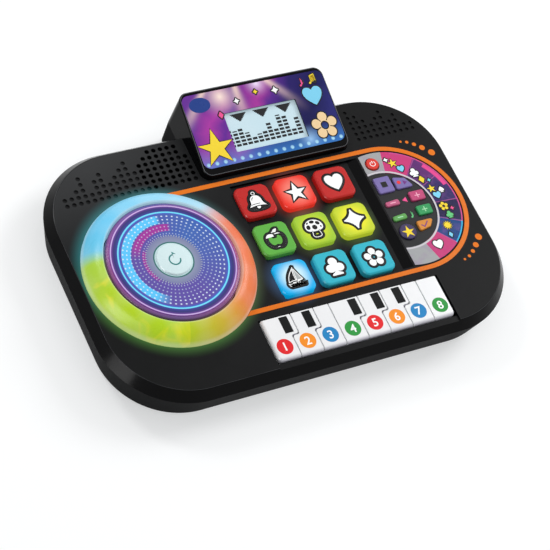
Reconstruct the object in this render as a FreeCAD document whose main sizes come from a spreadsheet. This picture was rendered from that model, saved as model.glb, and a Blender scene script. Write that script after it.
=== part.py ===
import FreeCAD, Part
import Sketcher
import math
import os

# Toy DJ mixer: a flat two-part housing with a spinning scratch disc in a glowing ring, nine light-up
# pads, an eight-key keyboard, a half-round control panel and a tilted screen pod at the back.
# Frame: millimetres, +X to the right, +Y to the back, +Z up. The origin is the middle of the whole
# part's footprint at the level that the feet stand on.

doc = FreeCAD.newDocument("toy_dj_mixer")
sheet = doc.addObject("Spreadsheet::Sheet", "Sizes")

# Driving dimensions, in mm and degrees. Plan positions are taken from the middle of the housing.
SIZES = {
    "middle_back": -8.4,
    "base_wide": 267.6, "base_deep": 167.6, "corner_round": 47.7, "belt_out": 4.8,
    "floor_level": 1.0, "post_level": 13.3, "seam_level": 22.0, "deck_level": 29.0,
    "wall": 2.4, "deck_thick": 2.4, "floor_thick": 2.2, "deck_edge_round": 1.0,
    "disc_x": -78.2, "disc_y": -3.2,
    "ring_round": 53.4, "ring_bore": 41.9, "ring_rise": 10.4, "ring_wall": 1.8,
    "platter_round": 40.9, "platter_rise": 10.4, "spindle_round": 3.95, "hub_bore": 4.0,
    "label_round": 38.6, "label_thick": 0.4, "cap_round": 11.0, "cap_rise": 1.5,
    "pad_wide": 23.0, "pad_deep": 22.6, "pad_corner": 4.5, "pad_rise": 2.2, "pad_travel": 1.5,
    "pad_pitch_x": 28.0, "pad_pitch_y": 28.5, "pad_first_x": -6.5, "pad_first_y": 27.9,
    "field_drop": 2.0, "field_left": -17.5, "field_right": 66.5, "field_front": -41.5,
    "field_back": 42.5, "field_slope_end": 73.0,
    "bow_x": 83.4, "bow_y": 0.9, "bow_round": 46.8, "stripe_wide": 3.0, "stripe_proud": 0.15,
    "panel_left": 74.2, "panel_round": 42.8, "panel_thick": 2.2, "panel_drop": 0.2,
    "inner_x": 80.2, "inner_y": -0.1, "inner_round": 28.2, "strip_thick": 0.35,
    "button_rise": 1.2, "button_travel": 0.8,
    "keys_left": -40.2, "key_pitch": 15.5, "key_gap": 0.8, "key_back": -51.6, "key_front": -80.0,
    "key_rise": 0.8, "key_tall": 5.6, "key_jog": 4.8, "key_jog_y": -65.4, "key_nose": 2.0,
    "lip_drop": 1.0,
    "shaft_y": -47.5, "shaft_z": 22.5, "shaft_round": 1.5, "barrel_bore": 1.55,
    "pod_x": 20.2, "pod_half_seam": 52.7, "pod_half_top": 50.8, "pod_front": 50.2, "pod_back": 105.4,
    "pod_face_y": 50.9, "pod_face_z": 33.5, "pod_tilt": 13.5,
    "pod_corner": 6.0, "pod_wall": 2.2,
    "window_wide": 51.5, "window_tall": 26.2, "window_middle": 24.0,
    "art_wide": 100.4, "art_tall": 49.4, "art_low": 3.8,
    "board_level": 17.2, "board_thick": 1.6, "key_board_level": 15.0,
    "grille_pitch_x": 4.5, "grille_pitch_y": 4.27, "grille_x": -121.2, "grille_y": 53.9,
    "grille_hole": 1.25, "right_grille_x": 81.55, "right_grille_y": 55.4,
    "speaker_x": -52.0, "speaker_y": 65.4, "speaker_round": 14.4,
    "cell_round": 7.2, "cell_long": 49.0, "cell_level": 10.6,
    "door_wide": 69.8, "door_deep": 46.8, "door_thick": 1.4, "door_y": 77.4, "door_screw_x": 35.6,
    "foot_round": 6.8, "foot_thick": 1.6,
}
for row, (alias, value) in enumerate(SIZES.items(), start=1):
    sheet.set("A%d" % row, alias)
    sheet.set("B%d" % row, str(value))
    sheet.setAlias("B%d" % row, alias)
doc.recompute()


def size(alias):
    """A driving dimension, read back from the sheet."""
    return float(sheet.get(alias))


NODES = []


def new_body(label, x="0", y="0", z="0"):
    """A sub-part whose own origin stands at a plan position of the housing."""
    body = doc.addObject("PartDesign::Body", label)
    body.Label = label
    body.setExpression("Placement.Base.x", x)
    body.setExpression("Placement.Base.y", y + " + Sizes.middle_back")
    body.setExpression("Placement.Base.z", z)
    NODES.append(body)
    return body


def new_sketch(body, name, role="XY_Plane", level=None):
    """A sketch on one of the body's own origin planes, raised along the plane's normal."""
    sketch = body.newObject("Sketcher::SketchObject", name)
    plane = [item for item in body.Origin.OriginFeatures if item.Role == role][0]
    sketch.AttachmentSupport = [(plane, "")]
    sketch.MapMode = "FlatFace"
    if level is not None:
        sketch.setExpression("AttachmentOffset.Base.z", level)
    return sketch


def trace(sketch, start, steps):
    """A closed outline of lines (x, y) and arcs (middle x, middle y, end x, end y)."""
    from_point = FreeCAD.Vector(start[0], start[1], 0)
    first = None
    for step in steps:
        end = FreeCAD.Vector(step[-2], step[-1], 0)
        if len(step) == 2:
            index = sketch.addGeometry(Part.LineSegment(from_point, end), False)
        else:
            middle = FreeCAD.Vector(step[0], step[1], 0)
            index = sketch.addGeometry(Part.Arc(from_point, middle, end), False)
        if first is None:
            first = index
        from_point = end
    return first


def circle(sketch, x, y, radius, expression=None):
    """A full circle, its radius bound to the sheet where an expression is given."""
    middle = FreeCAD.Vector(x, y, 0)
    index = sketch.addGeometry(Part.Circle(middle, FreeCAD.Vector(0, 0, 1), radius), False)
    if expression:
        sketch.addConstraint(Sketcher.Constraint("Radius", index, radius))
        sketch.setExpression("Constraints[%d]" % (sketch.ConstraintCount - 1), expression)
    return index


def rounded_box(sketch, x, y, wide, deep, corner, bound=None):
    """A rounded rectangle about (x, y), with its width, depth and corner bound to the sheet."""
    left, right = x - wide / 2, x + wide / 2
    low, high = y - deep / 2, y + deep / 2
    turn = corner * (1 - math.sqrt(0.5))
    first = trace(sketch, (left + corner, low), [
        (right - corner, low), (right - turn, low + turn, right, low + corner),
        (right, high - corner), (right - turn, high - turn, right - corner, high),
        (left + corner, high), (left + turn, high - turn, left, high - corner),
        (left, low + corner), (left + turn, low + turn, left + corner, low)])
    if bound is None:
        return
    add = sketch.addConstraint
    # Arc.Arc through three points always runs anticlockwise, so each arc starts at the line before it.
    for step in range(8):
        here, after = first + step, first + (step + 1) % 8
        add(Sketcher.Constraint("Tangent", here, 2, after, 1))
    for step, kind in ((0, "Horizontal"), (2, "Vertical"), (4, "Horizontal"), (6, "Vertical")):
        add(Sketcher.Constraint(kind, first + step))
    for step in (3, 5, 7):
        add(Sketcher.Constraint("Equal", first + 1, first + step))
    wide_rule, deep_rule, corner_rule = bound
    rules = ((Sketcher.Constraint("Radius", first + 1, corner), corner_rule),
             (Sketcher.Constraint("DistanceX", first + 6, 1, first + 2, 1, wide), wide_rule),
             (Sketcher.Constraint("DistanceY", first + 0, 1, first + 4, 1, deep), deep_rule),
             (Sketcher.Constraint("DistanceX", -1, 1, first + 2, 1, right),
              "%f + (%s) / 2" % (x, wide_rule)),
             (Sketcher.Constraint("DistanceY", -1, 1, first + 4, 1, high),
              "%f + (%s) / 2" % (y, deep_rule)))
    for rule, expression in rules:
        index = add(rule)
        sketch.setExpression("Constraints[%d]" % index, expression)


def pad(body, sketch, name, length, reverse=False, taper=None):
    """Material raised from a sketch by a bound length, its sides leaning out by a bound angle."""
    feature = body.newObject("PartDesign::Pad", name)
    feature.Profile = sketch
    feature.setExpression("Length", length)
    feature.Reversed = reverse
    if taper:
        feature.setExpression("TaperAngle", taper)
    return feature


def pocket(body, sketch, name, length, reverse=False, taper=None):
    """Material cut away from a sketch, against its normal unless reversed."""
    feature = body.newObject("PartDesign::Pocket", name)
    feature.Profile = sketch
    feature.setExpression("Length", length)
    feature.Reversed = reverse
    if taper:
        feature.setExpression("TaperAngle", taper)
    return feature


def revolve(body, sketch, name):
    """A full turn of a sketch about its own vertical axis."""
    feature = body.newObject("PartDesign::Revolution", name)
    feature.Profile = sketch
    feature.ReferenceAxis = (sketch, ["V_Axis"])
    feature.Angle = 360
    return feature


def fillet(body, base, name, radius, choose):
    """Rounded edges: those of the base feature for which choose(edge) holds."""
    doc.recompute()
    edges = ["Edge%d" % (number + 1) for number, edge in enumerate(base.Shape.Edges) if choose(edge)]
    feature = body.newObject("PartDesign::Fillet", name)
    feature.Base = (base, edges)
    feature.setExpression("Radius", radius)
    return feature


def chamfer(body, base, name, cut, choose):
    """Broken edges: those of the base feature for which choose(edge) holds."""
    doc.recompute()
    edges = ["Edge%d" % (number + 1) for number, edge in enumerate(base.Shape.Edges) if choose(edge)]
    feature = body.newObject("PartDesign::Chamfer", name)
    feature.Base = (base, edges)
    feature.setExpression("Size", cut)
    return feature


def flat_at(edge, level):
    """True for an edge that lies wholly at one height."""
    return all(abs(point.z - level) < 0.01 for point in
               (edge.valueAt(edge.FirstParameter), edge.valueAt(edge.LastParameter),
                edge.valueAt((edge.FirstParameter + edge.LastParameter) / 2)))


def disc_sketch_profile(body, name, points):
    """A half section for a turned piece, radius across and height up."""
    sketch = new_sketch(body, name, "XZ_Plane")
    trace(sketch, points[0], points[1:] + [points[0]])
    return sketch


# Grille: column heights, in holes, of the bar pattern left of the pod
GRILLE_BARS = (2, 2, 3, 5, 2, 4, 5, 3, 4, 5, 6, 4, 5, 6, 7, 7, 7, 7, 7, 5)
GRILLE_OPEN_COLUMNS = (12, 19)
# Column heights of the shorter pattern right of the pod
RIGHT_BARS = (6, 5, 4, 3, 4, 5, 3, 4, 2, 2)
KEY_HAS_BLACK = (True, True, False, True, True, True, False, False)
SCREW_PLACES = ((-115, 60), (115, 60), (-115, -60), (115, -60), (-29, 39), (-29, -40.5))
BOARD_POSTS = ((-15, 37), (-15, -35), (58, 37), (58, -37), (124, 34), (124, -34))
KEY_BOARD_POSTS = ((-34, -66), (22, -66), (78, -66))
FOOT_PLACES = ((-100, 62), (100, 62), (-100, -62), (100, -62))


def open_hole(column, line):
    """True where the bar pattern is drilled through, over the round speaker."""
    across = (column - 15.5) / 4.3
    along = (line - 3.1) / 3.9
    return across * across + along * along <= 1.02


# Bottom shell: a matte tray whose walls lean out to the belt, with a bulge at the back for the pod
LOWER_LEAN = "atan(Sizes.belt_out / (Sizes.seam_level - Sizes.floor_level))"
UPPER_LEAN = "atan(Sizes.belt_out / (Sizes.deck_level - Sizes.seam_level))"
POD_SIDE_TALL = (size("pod_face_z") - size("seam_level")
                 + (size("pod_back") - size("pod_face_y")) * math.tan(math.radians(size("pod_tilt"))))


def shell_outline(sketch, rule, corner_rule, spare):
    """The housing's rounded outline, larger all round than the deck by a bound margin."""
    rounded_box(sketch, 0, 0, size("base_wide") + 2 * spare, size("base_deep") + 2 * spare,
                size("corner_round") + spare,
                ("Sizes.base_wide + 2 * (%s)" % rule, "Sizes.base_deep + 2 * (%s)" % rule, corner_rule))


def bottom_shell():
    body = new_body("bottom_shell")
    outline = new_sketch(body, "tray_outline", level="Sizes.floor_level")
    shell_outline(outline, "0", "Sizes.corner_round", 0)
    pad(body, outline, "tray", "Sizes.seam_level - Sizes.floor_level", taper=LOWER_LEAN)
    bulge_sketch = new_sketch(body, "bulge_outline", level="Sizes.floor_level")
    half = size("pod_half_seam")
    bulge_deep = size("pod_back") - 55.0
    rounded_box(bulge_sketch, size("pod_x"), 55.0 + bulge_deep / 2, 2 * half, bulge_deep,
                size("pod_corner"))
    bulge = pad(body, bulge_sketch, "bulge", "Sizes.seam_level - Sizes.floor_level")
    fillet(body, bulge, "lower_edge", "2.0", lambda edge: flat_at(edge, size("floor_level")))
    wall = size("wall")
    hollow_sketch = new_sketch(body, "hollow_outline", level="Sizes.floor_level + Sizes.floor_thick")
    inside = "Sizes.belt_out * Sizes.floor_thick / (Sizes.seam_level - Sizes.floor_level) - Sizes.wall"
    spare = size("belt_out") * size("floor_thick") / (size("seam_level") - size("floor_level")) - wall
    shell_outline(hollow_sketch, inside, "Sizes.corner_round + " + inside, spare)
    pocket(body, hollow_sketch, "hollow",
           "Sizes.seam_level - Sizes.floor_level - Sizes.floor_thick", reverse=True, taper=LOWER_LEAN)
    bay_sketch = new_sketch(body, "bay_outline", level="Sizes.seam_level")
    rounded_box(bay_sketch, size("pod_x"), 55.0 + (bulge_deep - wall) / 2, 2 * (half - wall),
                bulge_deep - wall, size("pod_corner") - wall)
    pocket(body, bay_sketch, "bay", "Sizes.seam_level - Sizes.floor_level - Sizes.floor_thick")
    # Screw posts, board posts and the walls round the batteries stand on the floor
    posts = new_sketch(body, "screw_posts", level="Sizes.floor_level + 1")
    for x, y in SCREW_PLACES:
        circle(posts, x, y, 3.6)
    pad(body, posts, "posts", "Sizes.post_level - Sizes.floor_level - 1.1")
    props = new_sketch(body, "board_props", level="Sizes.floor_level + 1")
    for x, y in BOARD_POSTS:
        circle(props, x, y, 2.6)
    pad(body, props, "board_posts", "Sizes.board_level - Sizes.floor_level - 1")
    key_props = new_sketch(body, "key_board_props", level="Sizes.floor_level + 1")
    for x, y in KEY_BOARD_POSTS:
        circle(key_props, x, y, 2.6)
    pad(body, key_props, "key_board_posts", "Sizes.key_board_level - Sizes.floor_level - 1")
    fence = new_sketch(body, "cell_fence", level="Sizes.floor_level + 1")
    rounded_box(fence, size("pod_x"), size("door_y"), 64.0, 50.2, 2.0)
    rounded_box(fence, size("pod_x"), size("door_y"), 60.8, 47.0, 1.0)
    pad(body, fence, "cell_walls", "Sizes.post_level - Sizes.floor_level - 1.1")
    door_boss = new_sketch(body, "door_boss", level="Sizes.floor_level + 1")
    circle(door_boss, size("pod_x") + size("door_screw_x"), size("door_y"), 3.4)
    pad(body, door_boss, "door_boss_pad", "8.0")
    door_hole = new_sketch(body, "door_hole", level="Sizes.floor_level + Sizes.floor_thick + 0.5")
    rounded_box(door_hole, size("pod_x"), size("door_y"), 57.0, 44.0, 1.5)
    pocket(body, door_hole, "door_opening", "5")
    door_seat = new_sketch(body, "door_seat", level="Sizes.floor_level")
    rounded_box(door_seat, size("pod_x") + 5.0, size("door_y"), size("door_wide") + 0.4,
                size("door_deep") + 0.4, 2.5)
    pocket(body, door_seat, "door_rebate", "Sizes.door_thick", reverse=True)
    door_bore = new_sketch(body, "door_bore", level="Sizes.floor_level")
    circle(door_bore, size("pod_x") + size("door_screw_x"), size("door_y"), 1.2)
    pocket(body, door_bore, "door_pilot", "7.5", reverse=True)
    bores = new_sketch(body, "screw_bores", level="Sizes.post_level + 1")
    for x, y in SCREW_PLACES:
        circle(bores, x, y, 1.7)
    pocket(body, bores, "screw_holes", "Sizes.post_level + 2")
    heads = new_sketch(body, "screw_heads", level="Sizes.floor_level")
    for x, y in SCREW_PLACES:
        circle(heads, x, y, 2.9)
    pocket(body, heads, "screw_sinks", "5", reverse=True)
    foot_seats = new_sketch(body, "foot_seats", level="Sizes.floor_level")
    for x, y in FOOT_PLACES:
        circle(foot_seats, x, y, size("foot_round") + 0.1, "Sizes.foot_round + 0.1")
    pocket(body, foot_seats, "foot_rebates", "Sizes.foot_thick - Sizes.floor_level", reverse=True)


# Top shell: sloping glossy skirt, flat matte deck, and the openings that the moving pieces stand in
def top_shell():
    body = new_body("top_shell")
    wall, deck = size("wall"), size("deck_level")
    deep, belt = size("base_deep"), size("belt_out")
    outline = new_sketch(body, "shell_outline", level="Sizes.seam_level")
    shell_outline(outline, "Sizes.belt_out", "Sizes.corner_round + Sizes.belt_out", belt)
    block = pad(body, outline, "block", "Sizes.deck_level - Sizes.seam_level", taper="-" + UPPER_LEAN)
    fillet(body, block, "deck_edge", "Sizes.deck_edge_round", lambda edge: flat_at(edge, deck))
    hollow = new_sketch(body, "hollow_outline", level="Sizes.seam_level")
    shell_outline(hollow, "Sizes.belt_out - 1.2 * Sizes.wall",
                  "Sizes.corner_round + Sizes.belt_out - 1.2 * Sizes.wall", belt - 1.2 * wall)
    pocket(body, hollow, "hollow", "Sizes.deck_level - Sizes.deck_thick - Sizes.seam_level",
           reverse=True, taper="-" + UPPER_LEAN)
    # Stiffer plate under the pads and the control panel, walls of the pod's bay, sill before the keys
    plate = new_sketch(body, "field_plate", level="Sizes.deck_level - Sizes.deck_thick + 0.2")
    bow_x, bow_y, bow_reach = size("bow_x"), size("bow_y"), size("panel_round") + 1.6
    plate_left = size("field_left") - 2
    trace(plate, (plate_left, bow_y - bow_reach), [
        (bow_x, bow_y - bow_reach), (bow_x + bow_reach, bow_y, bow_x, bow_y + bow_reach),
        (plate_left, bow_y + bow_reach), (plate_left, bow_y - bow_reach)])
    pad(body, plate, "field_plate_pad", "1.8", reverse=True)
    notch_half = size("pod_half_seam") + 0.25
    bay = new_sketch(body, "bay_walls", level="Sizes.seam_level")
    back_inside = deep / 2 - 1.0
    outer, inner = notch_half + 1.6, notch_half - 0.4
    middle = size("pod_x")
    front = size("pod_front") - 0.6
    trace(bay, (middle - outer, back_inside), [
        (middle - outer, front - 1.6), (middle + outer, front - 1.6), (middle + outer, back_inside),
        (middle + inner, back_inside), (middle + inner, front + 0.4),
        (middle - inner, front + 0.4), (middle - inner, back_inside), (middle - outer, back_inside)])
    pad(body, bay, "bay_wall_pad", "Sizes.deck_level - Sizes.deck_thick - Sizes.seam_level + 0.2")
    sill = new_sketch(body, "sill_outline", level="Sizes.seam_level")
    keys_right = size("keys_left") + 8 * size("key_pitch")
    keys_middle = (size("keys_left") + keys_right) / 2
    keys_wide = keys_right - size("keys_left")
    rounded_box(sill, keys_middle, size("key_front") - 1.8, keys_wide + 6, 2.4, 0.5)
    pad(body, sill, "sill", "Sizes.deck_level - Sizes.deck_thick - Sizes.seam_level + 0.2")
    # Ribs that hold the keys' shaft hang from the deck between the keys
    ribs = new_sketch(body, "shaft_ribs", level="Sizes.deck_level - Sizes.deck_thick + 0.2")
    for number in range(9):
        rounded_box(ribs, size("keys_left") + number * size("key_pitch"), size("shaft_y"),
                    1.6, 6.4, 0.3)
    pad(body, ribs, "shaft_rib_pad", "7.0", reverse=True)
    bosses = new_sketch(body, "boss_outlines", level="Sizes.post_level")
    for x, y in SCREW_PLACES:
        circle(bosses, x, y, 3.6)
    pad(body, bosses, "bosses", "Sizes.deck_level - Sizes.deck_thick - Sizes.post_level + 0.2")
    collar = new_sketch(body, "speaker_collar", level="Sizes.deck_level - Sizes.deck_thick + 0.2")
    circle(collar, size("speaker_x"), size("speaker_y"), size("speaker_round") + 1.6,
           "Sizes.speaker_round + 1.6")
    circle(collar, size("speaker_x"), size("speaker_y"), size("speaker_round") + 0.2,
           "Sizes.speaker_round + 0.2")
    pad(body, collar, "speaker_collar_pad", "3.0", reverse=True)
    # Pilot holes for the case screws, blind under the deck
    pilots = new_sketch(body, "pilot_holes", level="Sizes.post_level")
    for x, y in SCREW_PLACES:
        circle(pilots, x, y, 1.2)
    pocket(body, pilots, "pilots", "11", reverse=True)
    shaft_bore = new_sketch(body, "shaft_bore", "YZ_Plane", "%f" % (keys_right + 3))
    circle(shaft_bore, size("shaft_y"), size("shaft_z"), size("shaft_round") + 0.01,
           "Sizes.shaft_round + 0.01")
    pocket(body, shaft_bore, "shaft_bores", "%f" % (keys_wide + 6))
    # The pod's notch is open to the back, and its sides lean as the pod's do
    notch = new_sketch(body, "notch_outline", level="Sizes.deck_level + 1")
    lean = (size("pod_half_seam") - size("pod_half_top")) / POD_SIDE_TALL
    half_above_deck = notch_half - lean * (deck + 1 - size("seam_level"))
    notch_front, notch_back = size("pod_front") - 0.2, deep / 2 + 20
    rounded_box(notch, middle, (notch_front + notch_back) / 2, 2 * half_above_deck,
                notch_back - notch_front, size("pod_corner") + 0.2)
    pocket(body, notch, "notch", "Sizes.deck_level - Sizes.seam_level + 2",
           taper="%f" % math.degrees(math.atan(lean)))
    # Pad field: sunk floor with a ramp up to the control panel, and nine square openings
    field = new_sketch(body, "field_section", "XZ_Plane", "%f" % -size("field_front"))
    floor = deck - size("field_drop")
    trace(field, (size("field_left"), deck + 1), [
        (size("field_left"), floor), (size("field_right"), floor),
        (size("field_slope_end"), deck - 0.1), (size("field_slope_end"), deck + 1),
        (size("field_left"), deck + 1)])
    pocket(body, field, "field", "Sizes.field_back - Sizes.field_front")
    openings = new_sketch(body, "pad_openings", level="Sizes.deck_level")
    for column in range(3):
        for line in range(3):
            rounded_box(openings, size("pad_first_x") + column * size("pad_pitch_x"),
                        size("pad_first_y") - line * size("pad_pitch_y"),
                        size("pad_wide") + 0.6, size("pad_deep") + 0.6, size("pad_corner") + 0.3)
    pocket(body, openings, "pad_holes", "6")
    # Seat of the control panel, and the opening under it
    seat = new_sketch(body, "panel_seat", level="Sizes.deck_level")
    bow_outline(seat, size("panel_left") - 0.3, size("panel_round") + 0.3)
    pocket(body, seat, "panel_rebate", "Sizes.panel_thick + Sizes.panel_drop")
    well = new_sketch(body, "panel_well", level="Sizes.deck_level")
    bow_outline(well, size("panel_left") + 0.4, size("panel_round") - 1.6)
    pocket(body, well, "panel_opening", "6")
    # Groove of the coloured stripe, and the disc's round opening over its left ends
    groove = new_sketch(body, "stripe_groove", level="Sizes.deck_level")
    stripe_outline(groove, 0.05)
    pocket(body, groove, "groove", "1.0")
    opening = new_sketch(body, "disc_opening", level="Sizes.deck_level + 1")
    circle(opening, size("disc_x"), size("disc_y"), size("ring_round") + 0.2, "Sizes.ring_round + 0.2")
    pocket(body, opening, "disc_hole", "6")
    # Keyboard opening, with its front lip a little lower than the deck
    tray = new_sketch(body, "keys_section", "YZ_Plane", "%f" % (keys_right + 0.8))
    lip = size("key_front") - 0.6
    trace(tray, (size("key_back") + 0.8, deck + 1), [
        (-deep / 2 - 5, deck + 1), (-deep / 2 - 5, deck - size("lip_drop")),
        (lip, deck - size("lip_drop")), (lip, 20.0),
        (size("key_back") + 0.8, 20.0), (size("key_back") + 0.8, deck + 1)])
    pocket(body, tray, "keys_opening", "%f" % (keys_wide + 1.6))
    # Speaker grille: the drilled part of the bar pattern
    holes = new_sketch(body, "grille_holes", level="Sizes.deck_level")
    for column, bar in enumerate(GRILLE_BARS):
        for line in range(bar):
            if column >= GRILLE_OPEN_COLUMNS[0] and open_hole(column, line):
                circle(holes, size("grille_x") + column * size("grille_pitch_x"),
                       size("grille_y") + line * size("grille_pitch_y"), size("grille_hole"))
    pocket(body, holes, "grille", "4")
    # The rest of the bar pattern, and the shorter pattern right of the pod, are moulded dimples
    dimples = new_sketch(body, "grille_dimples", level="Sizes.deck_level")
    for column, bar in enumerate(GRILLE_BARS):
        for line in range(bar):
            if column < GRILLE_OPEN_COLUMNS[0] or not open_hole(column, line):
                circle(dimples, size("grille_x") + column * size("grille_pitch_x"),
                       size("grille_y") + line * size("grille_pitch_y"), size("grille_hole") - 0.05)
    for column, bar in enumerate(RIGHT_BARS):
        for line in range(bar):
            circle(dimples, size("right_grille_x") + column * size("grille_pitch_x"),
                   size("right_grille_y") + line * size("grille_pitch_y"), size("grille_hole") - 0.1)
    pocket(body, dimples, "dimples", "0.8")


def bow_outline(sketch, left, radius):
    """A round segment about the stripe's centre, cut off straight at its left."""
    x, y = size("bow_x"), size("bow_y")
    high = math.sqrt(radius ** 2 - (x - left) ** 2)
    trace(sketch, (left, y - high), [(x + radius, y, left, y + high), (left, y - high)])


def stripe_outline(sketch, spare):
    """The band that runs along the back of the pads, round the panel and back above the keys."""
    x, y = size("bow_x"), size("bow_y")
    outer, inner = size("bow_round") + spare, size("bow_round") - size("stripe_wide") - spare
    start = size("disc_x") + 10
    trace(sketch, (start, y - outer), [
        (x, y - outer), (x + outer, y, x, y + outer), (start, y + outer), (start, y + inner),
        (x, y + inner), (x + inner, y, x, y - inner), (start, y - inner), (start, y - outer)])


# Stripe: a flush inlay whose two ends butt against the glowing ring
def trim_stripe():
    body = new_body("trim_stripe")
    outline = new_sketch(body, "stripe_outline", level="Sizes.deck_level - 1")
    stripe_outline(outline, 0)
    pad(body, outline, "stripe", "1 + Sizes.stripe_proud")
    ends = new_sketch(body, "ring_clearance", level="Sizes.deck_level + 1")
    circle(ends, size("disc_x"), size("disc_y"), size("ring_round") + 0.3, "Sizes.ring_round + 0.3")
    pocket(body, ends, "end_cut", "3")


# Turntable: fixed base with spindle, translucent ring, its light board, and the spinning platter
def turntable_base():
    body = new_body("turntable_base", "Sizes.disc_x", "Sizes.disc_y")
    spindle = size("spindle_round")
    disc_sketch_profile(body, "section", [
        (0, 19.4), (52.8, 19.4), (52.8, 24.6), (51.0, 24.6), (51.0, 21.4), (6.5, 21.4), (6.5, 24.0),
        (spindle, 24.0), (spindle, 36.4), (spindle - 0.6, 37.0), (0, 37.0)])
    revolve(body, body.Group[-1], "base")


def light_ring():
    body = new_body("light_ring", "Sizes.disc_x", "Sizes.disc_y")
    outer, bore, wall = size("ring_round"), size("ring_bore"), size("ring_wall")
    deck = size("deck_level")
    crown = deck + size("ring_rise")
    sketch = new_sketch(body, "section", "XZ_Plane")
    trace(sketch, (outer - wall, 24.6), [
        (outer, 24.6), (outer, deck + 0.4),
        (outer - 3.6, deck + 6.6, bore + 1.4, crown), (bore + 0.6, crown), (bore, crown - 0.6),
        (bore, 24.8), (bore + wall, 24.8), (bore + wall, crown - 2.4),
        (outer - wall - 3.6, deck + 5.4), (outer - wall, deck + 0.4), (outer - wall, 24.6)])
    revolve(body, sketch, "ring")


def square_at(sketch, x, y, side, turn):
    """A square about (x, y), turned by an angle in radians."""
    reach = side / math.sqrt(2)
    corners = []
    for quarter in range(4):
        angle = turn + math.pi * (quarter / 2 + 0.25)
        corners.append((x + reach * math.cos(angle), y + reach * math.sin(angle)))
    trace(sketch, corners[-1], corners)


def light_board():
    body = new_body("light_board", "Sizes.disc_x", "Sizes.disc_y")
    plate = new_sketch(body, "plate_outline", level="21.4")
    circle(plate, 0, 0, 50.6)
    circle(plate, 0, 0, 44.4)
    pad(body, plate, "plate", "Sizes.board_thick")
    lamps = new_sketch(body, "lamp_outlines", level="21.3 + Sizes.board_thick")
    for number in range(16):
        turn = math.radians(number * 22.5)
        square_at(lamps, 47.5 * math.cos(turn), 47.5 * math.sin(turn), 3.2, turn)
    pad(body, lamps, "lamps", "1.3")


def platter():
    body = new_body("platter", "Sizes.disc_x", "Sizes.disc_y")
    edge, bore = size("platter_round"), size("hub_bore")
    top = size("deck_level") + size("platter_rise")
    sketch = new_sketch(body, "section", "XZ_Plane")
    trace(sketch, (0, top - 1.9), [
        (bore, top - 1.9), (bore, 24.3), (7.0, 24.3), (7.0, top - 1.9), (edge - 1.8, top - 2.4),
        (edge - 1.8, 30.0), (edge, 30.0), (edge, top - 1.3), (edge - 0.5, top - 0.5),
        (edge - 1.9, top), (0, top), (0, top - 1.9)])
    revolve(body, sketch, "disc")
    rib = new_sketch(body, "rib_outline", level="%f" % (top - 1.5))
    rounded_box(rib, (7.0 + edge - 1.8) / 2, 0, edge - 8.0, 1.4, 0.2)
    rib_pad = pad(body, rib, "rib", "4", reverse=True)
    axis = [item for item in body.Origin.OriginFeatures if item.Role == "Z_Axis"][0]
    pattern = body.newObject("PartDesign::PolarPattern", "ribs")
    pattern.Originals = [rib_pad]
    pattern.Axis = (axis, [""])
    pattern.Angle = 360
    pattern.Occurrences = 8
    body.Tip = pattern


def platter_label():
    body = new_body("platter_label", "Sizes.disc_x", "Sizes.disc_y",
                    "Sizes.deck_level + Sizes.platter_rise")
    outline = new_sketch(body, "outline")
    circle(outline, 0, 0, size("label_round"), "Sizes.label_round")
    circle(outline, 0, 0, size("cap_round") - 0.4, "Sizes.cap_round - 0.4")
    pad(body, outline, "sheet", "Sizes.label_thick")


def platter_cap():
    body = new_body("platter_cap", "Sizes.disc_x", "Sizes.disc_y",
                    "Sizes.deck_level + Sizes.platter_rise")
    edge, rise, sheet_top = size("cap_round"), size("cap_rise"), size("label_thick")
    sketch = new_sketch(body, "section", "XZ_Plane")
    trace(sketch, (0, 0), [
        (edge - 0.5, 0), (edge - 0.5, sheet_top), (edge, sheet_top),
        (edge, sheet_top + 0.5), (edge - 0.6, sheet_top + 1.0), (edge / 2, sheet_top + rise - 0.1),
        (3.0, sheet_top + rise), (0, sheet_top + rise), (0, 0)])
    revolve(body, sketch, "cap")


# Pads: square translucent caps, hollow below, held by a flange under the deck
def pads():
    for number in range(9):
        column, line = number % 3, number // 3
        body = new_body("pad_%d" % (number + 1),
                        "Sizes.pad_first_x + %d * Sizes.pad_pitch_x" % column,
                        "Sizes.pad_first_y - %d * Sizes.pad_pitch_y" % line, "Sizes.deck_level")
        wide, deep, corner = size("pad_wide"), size("pad_deep"), size("pad_corner")
        outline = new_sketch(body, "cap_outline", level="-5.4")
        rounded_box(outline, 0, 0, wide, deep, corner,
                    ("Sizes.pad_wide", "Sizes.pad_deep", "Sizes.pad_corner"))
        cap = pad(body, outline, "cap", "5.4 + Sizes.pad_rise")
        broken = chamfer(body, cap, "soft_edge", "0.9", lambda edge: flat_at(edge, size("pad_rise")))
        chamfer(body, broken, "softer_edge", "0.3", lambda edge: flat_at(edge, size("pad_rise")))
        flange = new_sketch(body, "flange_outline", level="-5.4")
        rounded_box(flange, 0, 0, wide + 2.8, deep + 2.8, 1.0,
                    ("Sizes.pad_wide + 2.8", "Sizes.pad_deep + 2.8", "1"))
        pad(body, flange, "flange", "1.3")
        inside = new_sketch(body, "inside_outline", level="-5.4")
        rounded_box(inside, 0, 0, wide - 3.6, deep - 3.6, 1.0)
        pocket(body, inside, "inside", "6.0", reverse=True)
        stem = new_sketch(body, "stem_outline", level="Sizes.board_level + Sizes.board_thick"
                          " + 1.7 + Sizes.pad_travel - Sizes.deck_level")
        circle(stem, 0, 0, 3.0)
        pad(body, stem, "stem", "8.0")


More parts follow.
